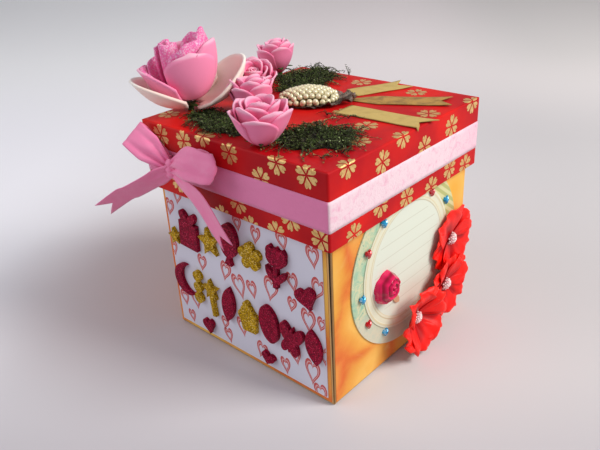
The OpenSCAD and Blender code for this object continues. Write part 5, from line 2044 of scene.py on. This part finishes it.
@dataclass
class Studio:
    """Camera, lamps, pale floor and backdrop."""

    camera_at: tuple[float, float, float] = (189.289, -213.071, 198.034)
    right: tuple[float, float, float] = (0.74481, 0.66543, -0.0496)
    up: tuple[float, float, float] = (-0.27399, 0.37276, 0.88655)
    back: tuple[float, float, float] = (0.60843, -0.64673, 0.45996)
    focal_px: float = 659.667
    picture_width: int = 600
    sensor: float = 36
    floor_middle: tuple[float, float] = (-10.0, 260.0)
    floor_way: tuple[float, float] = (-0.5736, 0.8192)
    floor_reach: float = 3.0

    def camera(self) -> None:
        """Sets the camera at the photograph's viewing angle."""
        lens = bpy.data.cameras.new("view")
        lens.sensor_width = self.sensor
        lens.lens = self.focal_px / self.picture_width * self.sensor
        lens.clip_start, lens.clip_end = 0.01, 10
        made = bpy.data.objects.new("view", lens)
        rows = np.array([self.right, self.up, self.back]).T
        pose = Matrix.Identity(4)
        for i in range(3):
            for k in range(3):
                pose[i][k] = rows[i][k]
            pose[i][3] = self.camera_at[i] * MM
        made.matrix_world = pose
        bpy.context.scene.collection.objects.link(made)
        bpy.context.scene.camera = made

    def lamp(self, name: str, at: Sequence[float], size: float, power: float, colour: Colour) -> None:
        """Adds one soft square lamp that shines on the box's middle.

        Args:
            name: Its name.
            at: Its place in metres.
            size: Its side in metres.
            power: Its power in watts.
            colour: Its colour.
        """
        light = bpy.data.lights.new(name, "AREA")
        light.size, light.energy, light.color = size, power, colour
        made = bpy.data.objects.new(name, light)
        made.location = at
        made.rotation_euler = (Vector((0, 0, 0.06)) - Vector(at)).to_track_quat("-Z", "Y").to_euler()
        bpy.context.scene.collection.objects.link(made)

    def ground(self) -> None:
        """Lays the pale floor up into a far backdrop, with painted light and shade across both and a painted shadow
        beside the box.
        """
        points, faces = [], []
        middle, normal = np.array(self.floor_middle) * MM, np.array(self.floor_way)
        side = np.array([normal[1], -normal[0]])
        start, bend = 1.2, 0.2
        profile = [(-self.floor_reach, 0.0), (start, 0.0)]
        for a in np.linspace(0.2, math.pi / 2, 8):
            profile.append((start + bend * math.sin(a), bend - bend * math.cos(a)))
        profile.append((1.4, 1.5))
        for out, up in profile:
            for reach in (-self.floor_reach, self.floor_reach):
                p = middle + normal * out + side * reach
                points.append((p[0], p[1], up))
        for i in range(0, 2 * len(profile) - 2, 2):
            faces.append((i, i + 1, i + 3, i + 2))
        mesh = bpy.data.meshes.new("ground")
        mesh.from_pydata(points, [], faces)
        mesh.polygons.foreach_set("use_smooth", [True] * len(faces))
        mesh.validate()
        made = bpy.data.objects.new("ground", mesh)
        bpy.context.scene.collection.objects.link(made)
        desk = ShaderDesk("pale_ground")
        x, y, z = desk.axes()
        (mx, my), (nx, ny) = self.floor_middle, self.floor_way
        across = (x - mx) * ny - (y - my) * nx
        out = (y - my) * ny + (x - mx) * nx
        far = desk.step(out, 20.0, 360.0)
        # Painted light and shade: whiter to the left and greyer to the right, on the floor and on the backdrop
        base = desk.mix(desk.step(across, -400.0, -200.0), ink("#f4f3f8"), ink("#dcd8da"))
        base = desk.mix(desk.step(across, -160.0, 40.0), base, ink("#cac7c8"))
        base = desk.mix(far, base, desk.mix(desk.step(across, -500.0, -200.0), ink("#fcfcfd"), ink("#f4ecec")))
        base = desk.mix(far * desk.step(across, -100.0, 100.0), base, ink("#e1dddb"))
        # Painted shade: a darker floor towards the camera
        base = desk.mix((1 - desk.step(out, -340.0, -250.0)) * 0.8, base, ink("#b5b1b6"))
        # Painted shadow, warm from the red lid, on the floor to the left of the box
        shadow_patch_distance = ((x + 85.0) ** 2.0 + (y + 20.0) ** 2.0 + z * z) ** 0.5
        base = desk.mix((1 - desk.step(shadow_patch_distance, 30.0, 130.0)) * 0.5, base, ink("#b89a98"))
        mesh.materials.append(desk.wear(Base_Color=base, Roughness=0.85))

    def world(self) -> None:
        """Fills the surroundings with plain pale light."""
        world = bpy.data.worlds.new("surroundings")
        world.use_nodes = True
        world.node_tree.nodes["Background"].inputs[0].default_value = (0.86, 0.87, 0.92, 1)
        world.node_tree.nodes["Background"].inputs[1].default_value = 0.42
        bpy.context.scene.world = world

    def build(self) -> None:
        """Sets up the studio."""
        self.camera()
        self.ground()
        self.world()
        self.lamp("key", (0.75, 0.35, 0.75), 0.5, 11.0, (1.0, 0.97, 0.94))
        self.lamp("fill", (-0.55, -0.65, 0.6), 0.8, 3.2, (0.94, 0.95, 1.0))
        bpy.context.scene.view_settings.view_transform = "Standard"


def main() -> None:
    """Builds the studio and every sub-assembly."""
    logging.basicConfig(level=logging.INFO, format="%(name)s %(message)s")
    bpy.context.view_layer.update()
    Studio().build()
    SheetBox().build()
    FoamSet().build()
    RoundTag().build()
    Lid().build()
    Bow().build()
    Banner("upper_banner", 1.4, 27.2, 62, 29, 0, Look.KRAFT, "kraft_paper", 0.5).build()
    Banner("middle_banner", 8.4, 18.6, 28, 44.5, 12, Look.AGED, "gold_paper", 0.6).build()
    Banner("lower_banner", 13.6, 5.6, 3, 42.5, 0, Look.KRAFT, "kraft_paper", 0.5, 1.0).build()
    PearlBed().build()
    MossClump("front_moss", -19, -38.5, 19, 7.6, -12, 620, 90, 0.9, seed=2).build()
    MossClump(
        "right_moss", 27.5, -29.5, 15.5, 12, 25, 520, 120, 1.35, seed=5,
        strays=(
            (23, -3, 1.0, 6), (37, -13.6, 1.0, 6), (46, -36, 0.6, 5), (13, -5, 1.2, 7), (43, -44, 0.5, 5),
            (34, -16, 1.4, 9),
        ),
    ).build()
    MossClump(
        "back_moss", -31, 31, 20, 12, 113, 620, 110, 1.1, 1.5, seed=7,
        strays=((-19.5, 51.8, 6.5, 6), (-34, 52, 3.2, 3)),
    ).build()
    roses = [
        Rose("front_rose", 15, -46, 3, -46, 20, radius=12.6, height=15, seed=1),
        Rose("middle_rose", -15.5, -21, 8, 150, 60, radius=10.5, height=13, seed=2),
        Rose("side_rose", -38, 2.5, 26, -46, 25, radius=11, height=12.5, seed=3),
        Rose("back_rose", -49.4, 32, 12, 190, 40, rise=2.2, radius=10.2, height=13, seed=4),
    ]
    for rose in roses:
        rose.build()
    large = LargeRose("large_rose", -45, -32, 5, 223, 0, seed=6)
    large.build()
    Calyxes(roses + [large]).build()


if __name__ == "__main__":
    main()
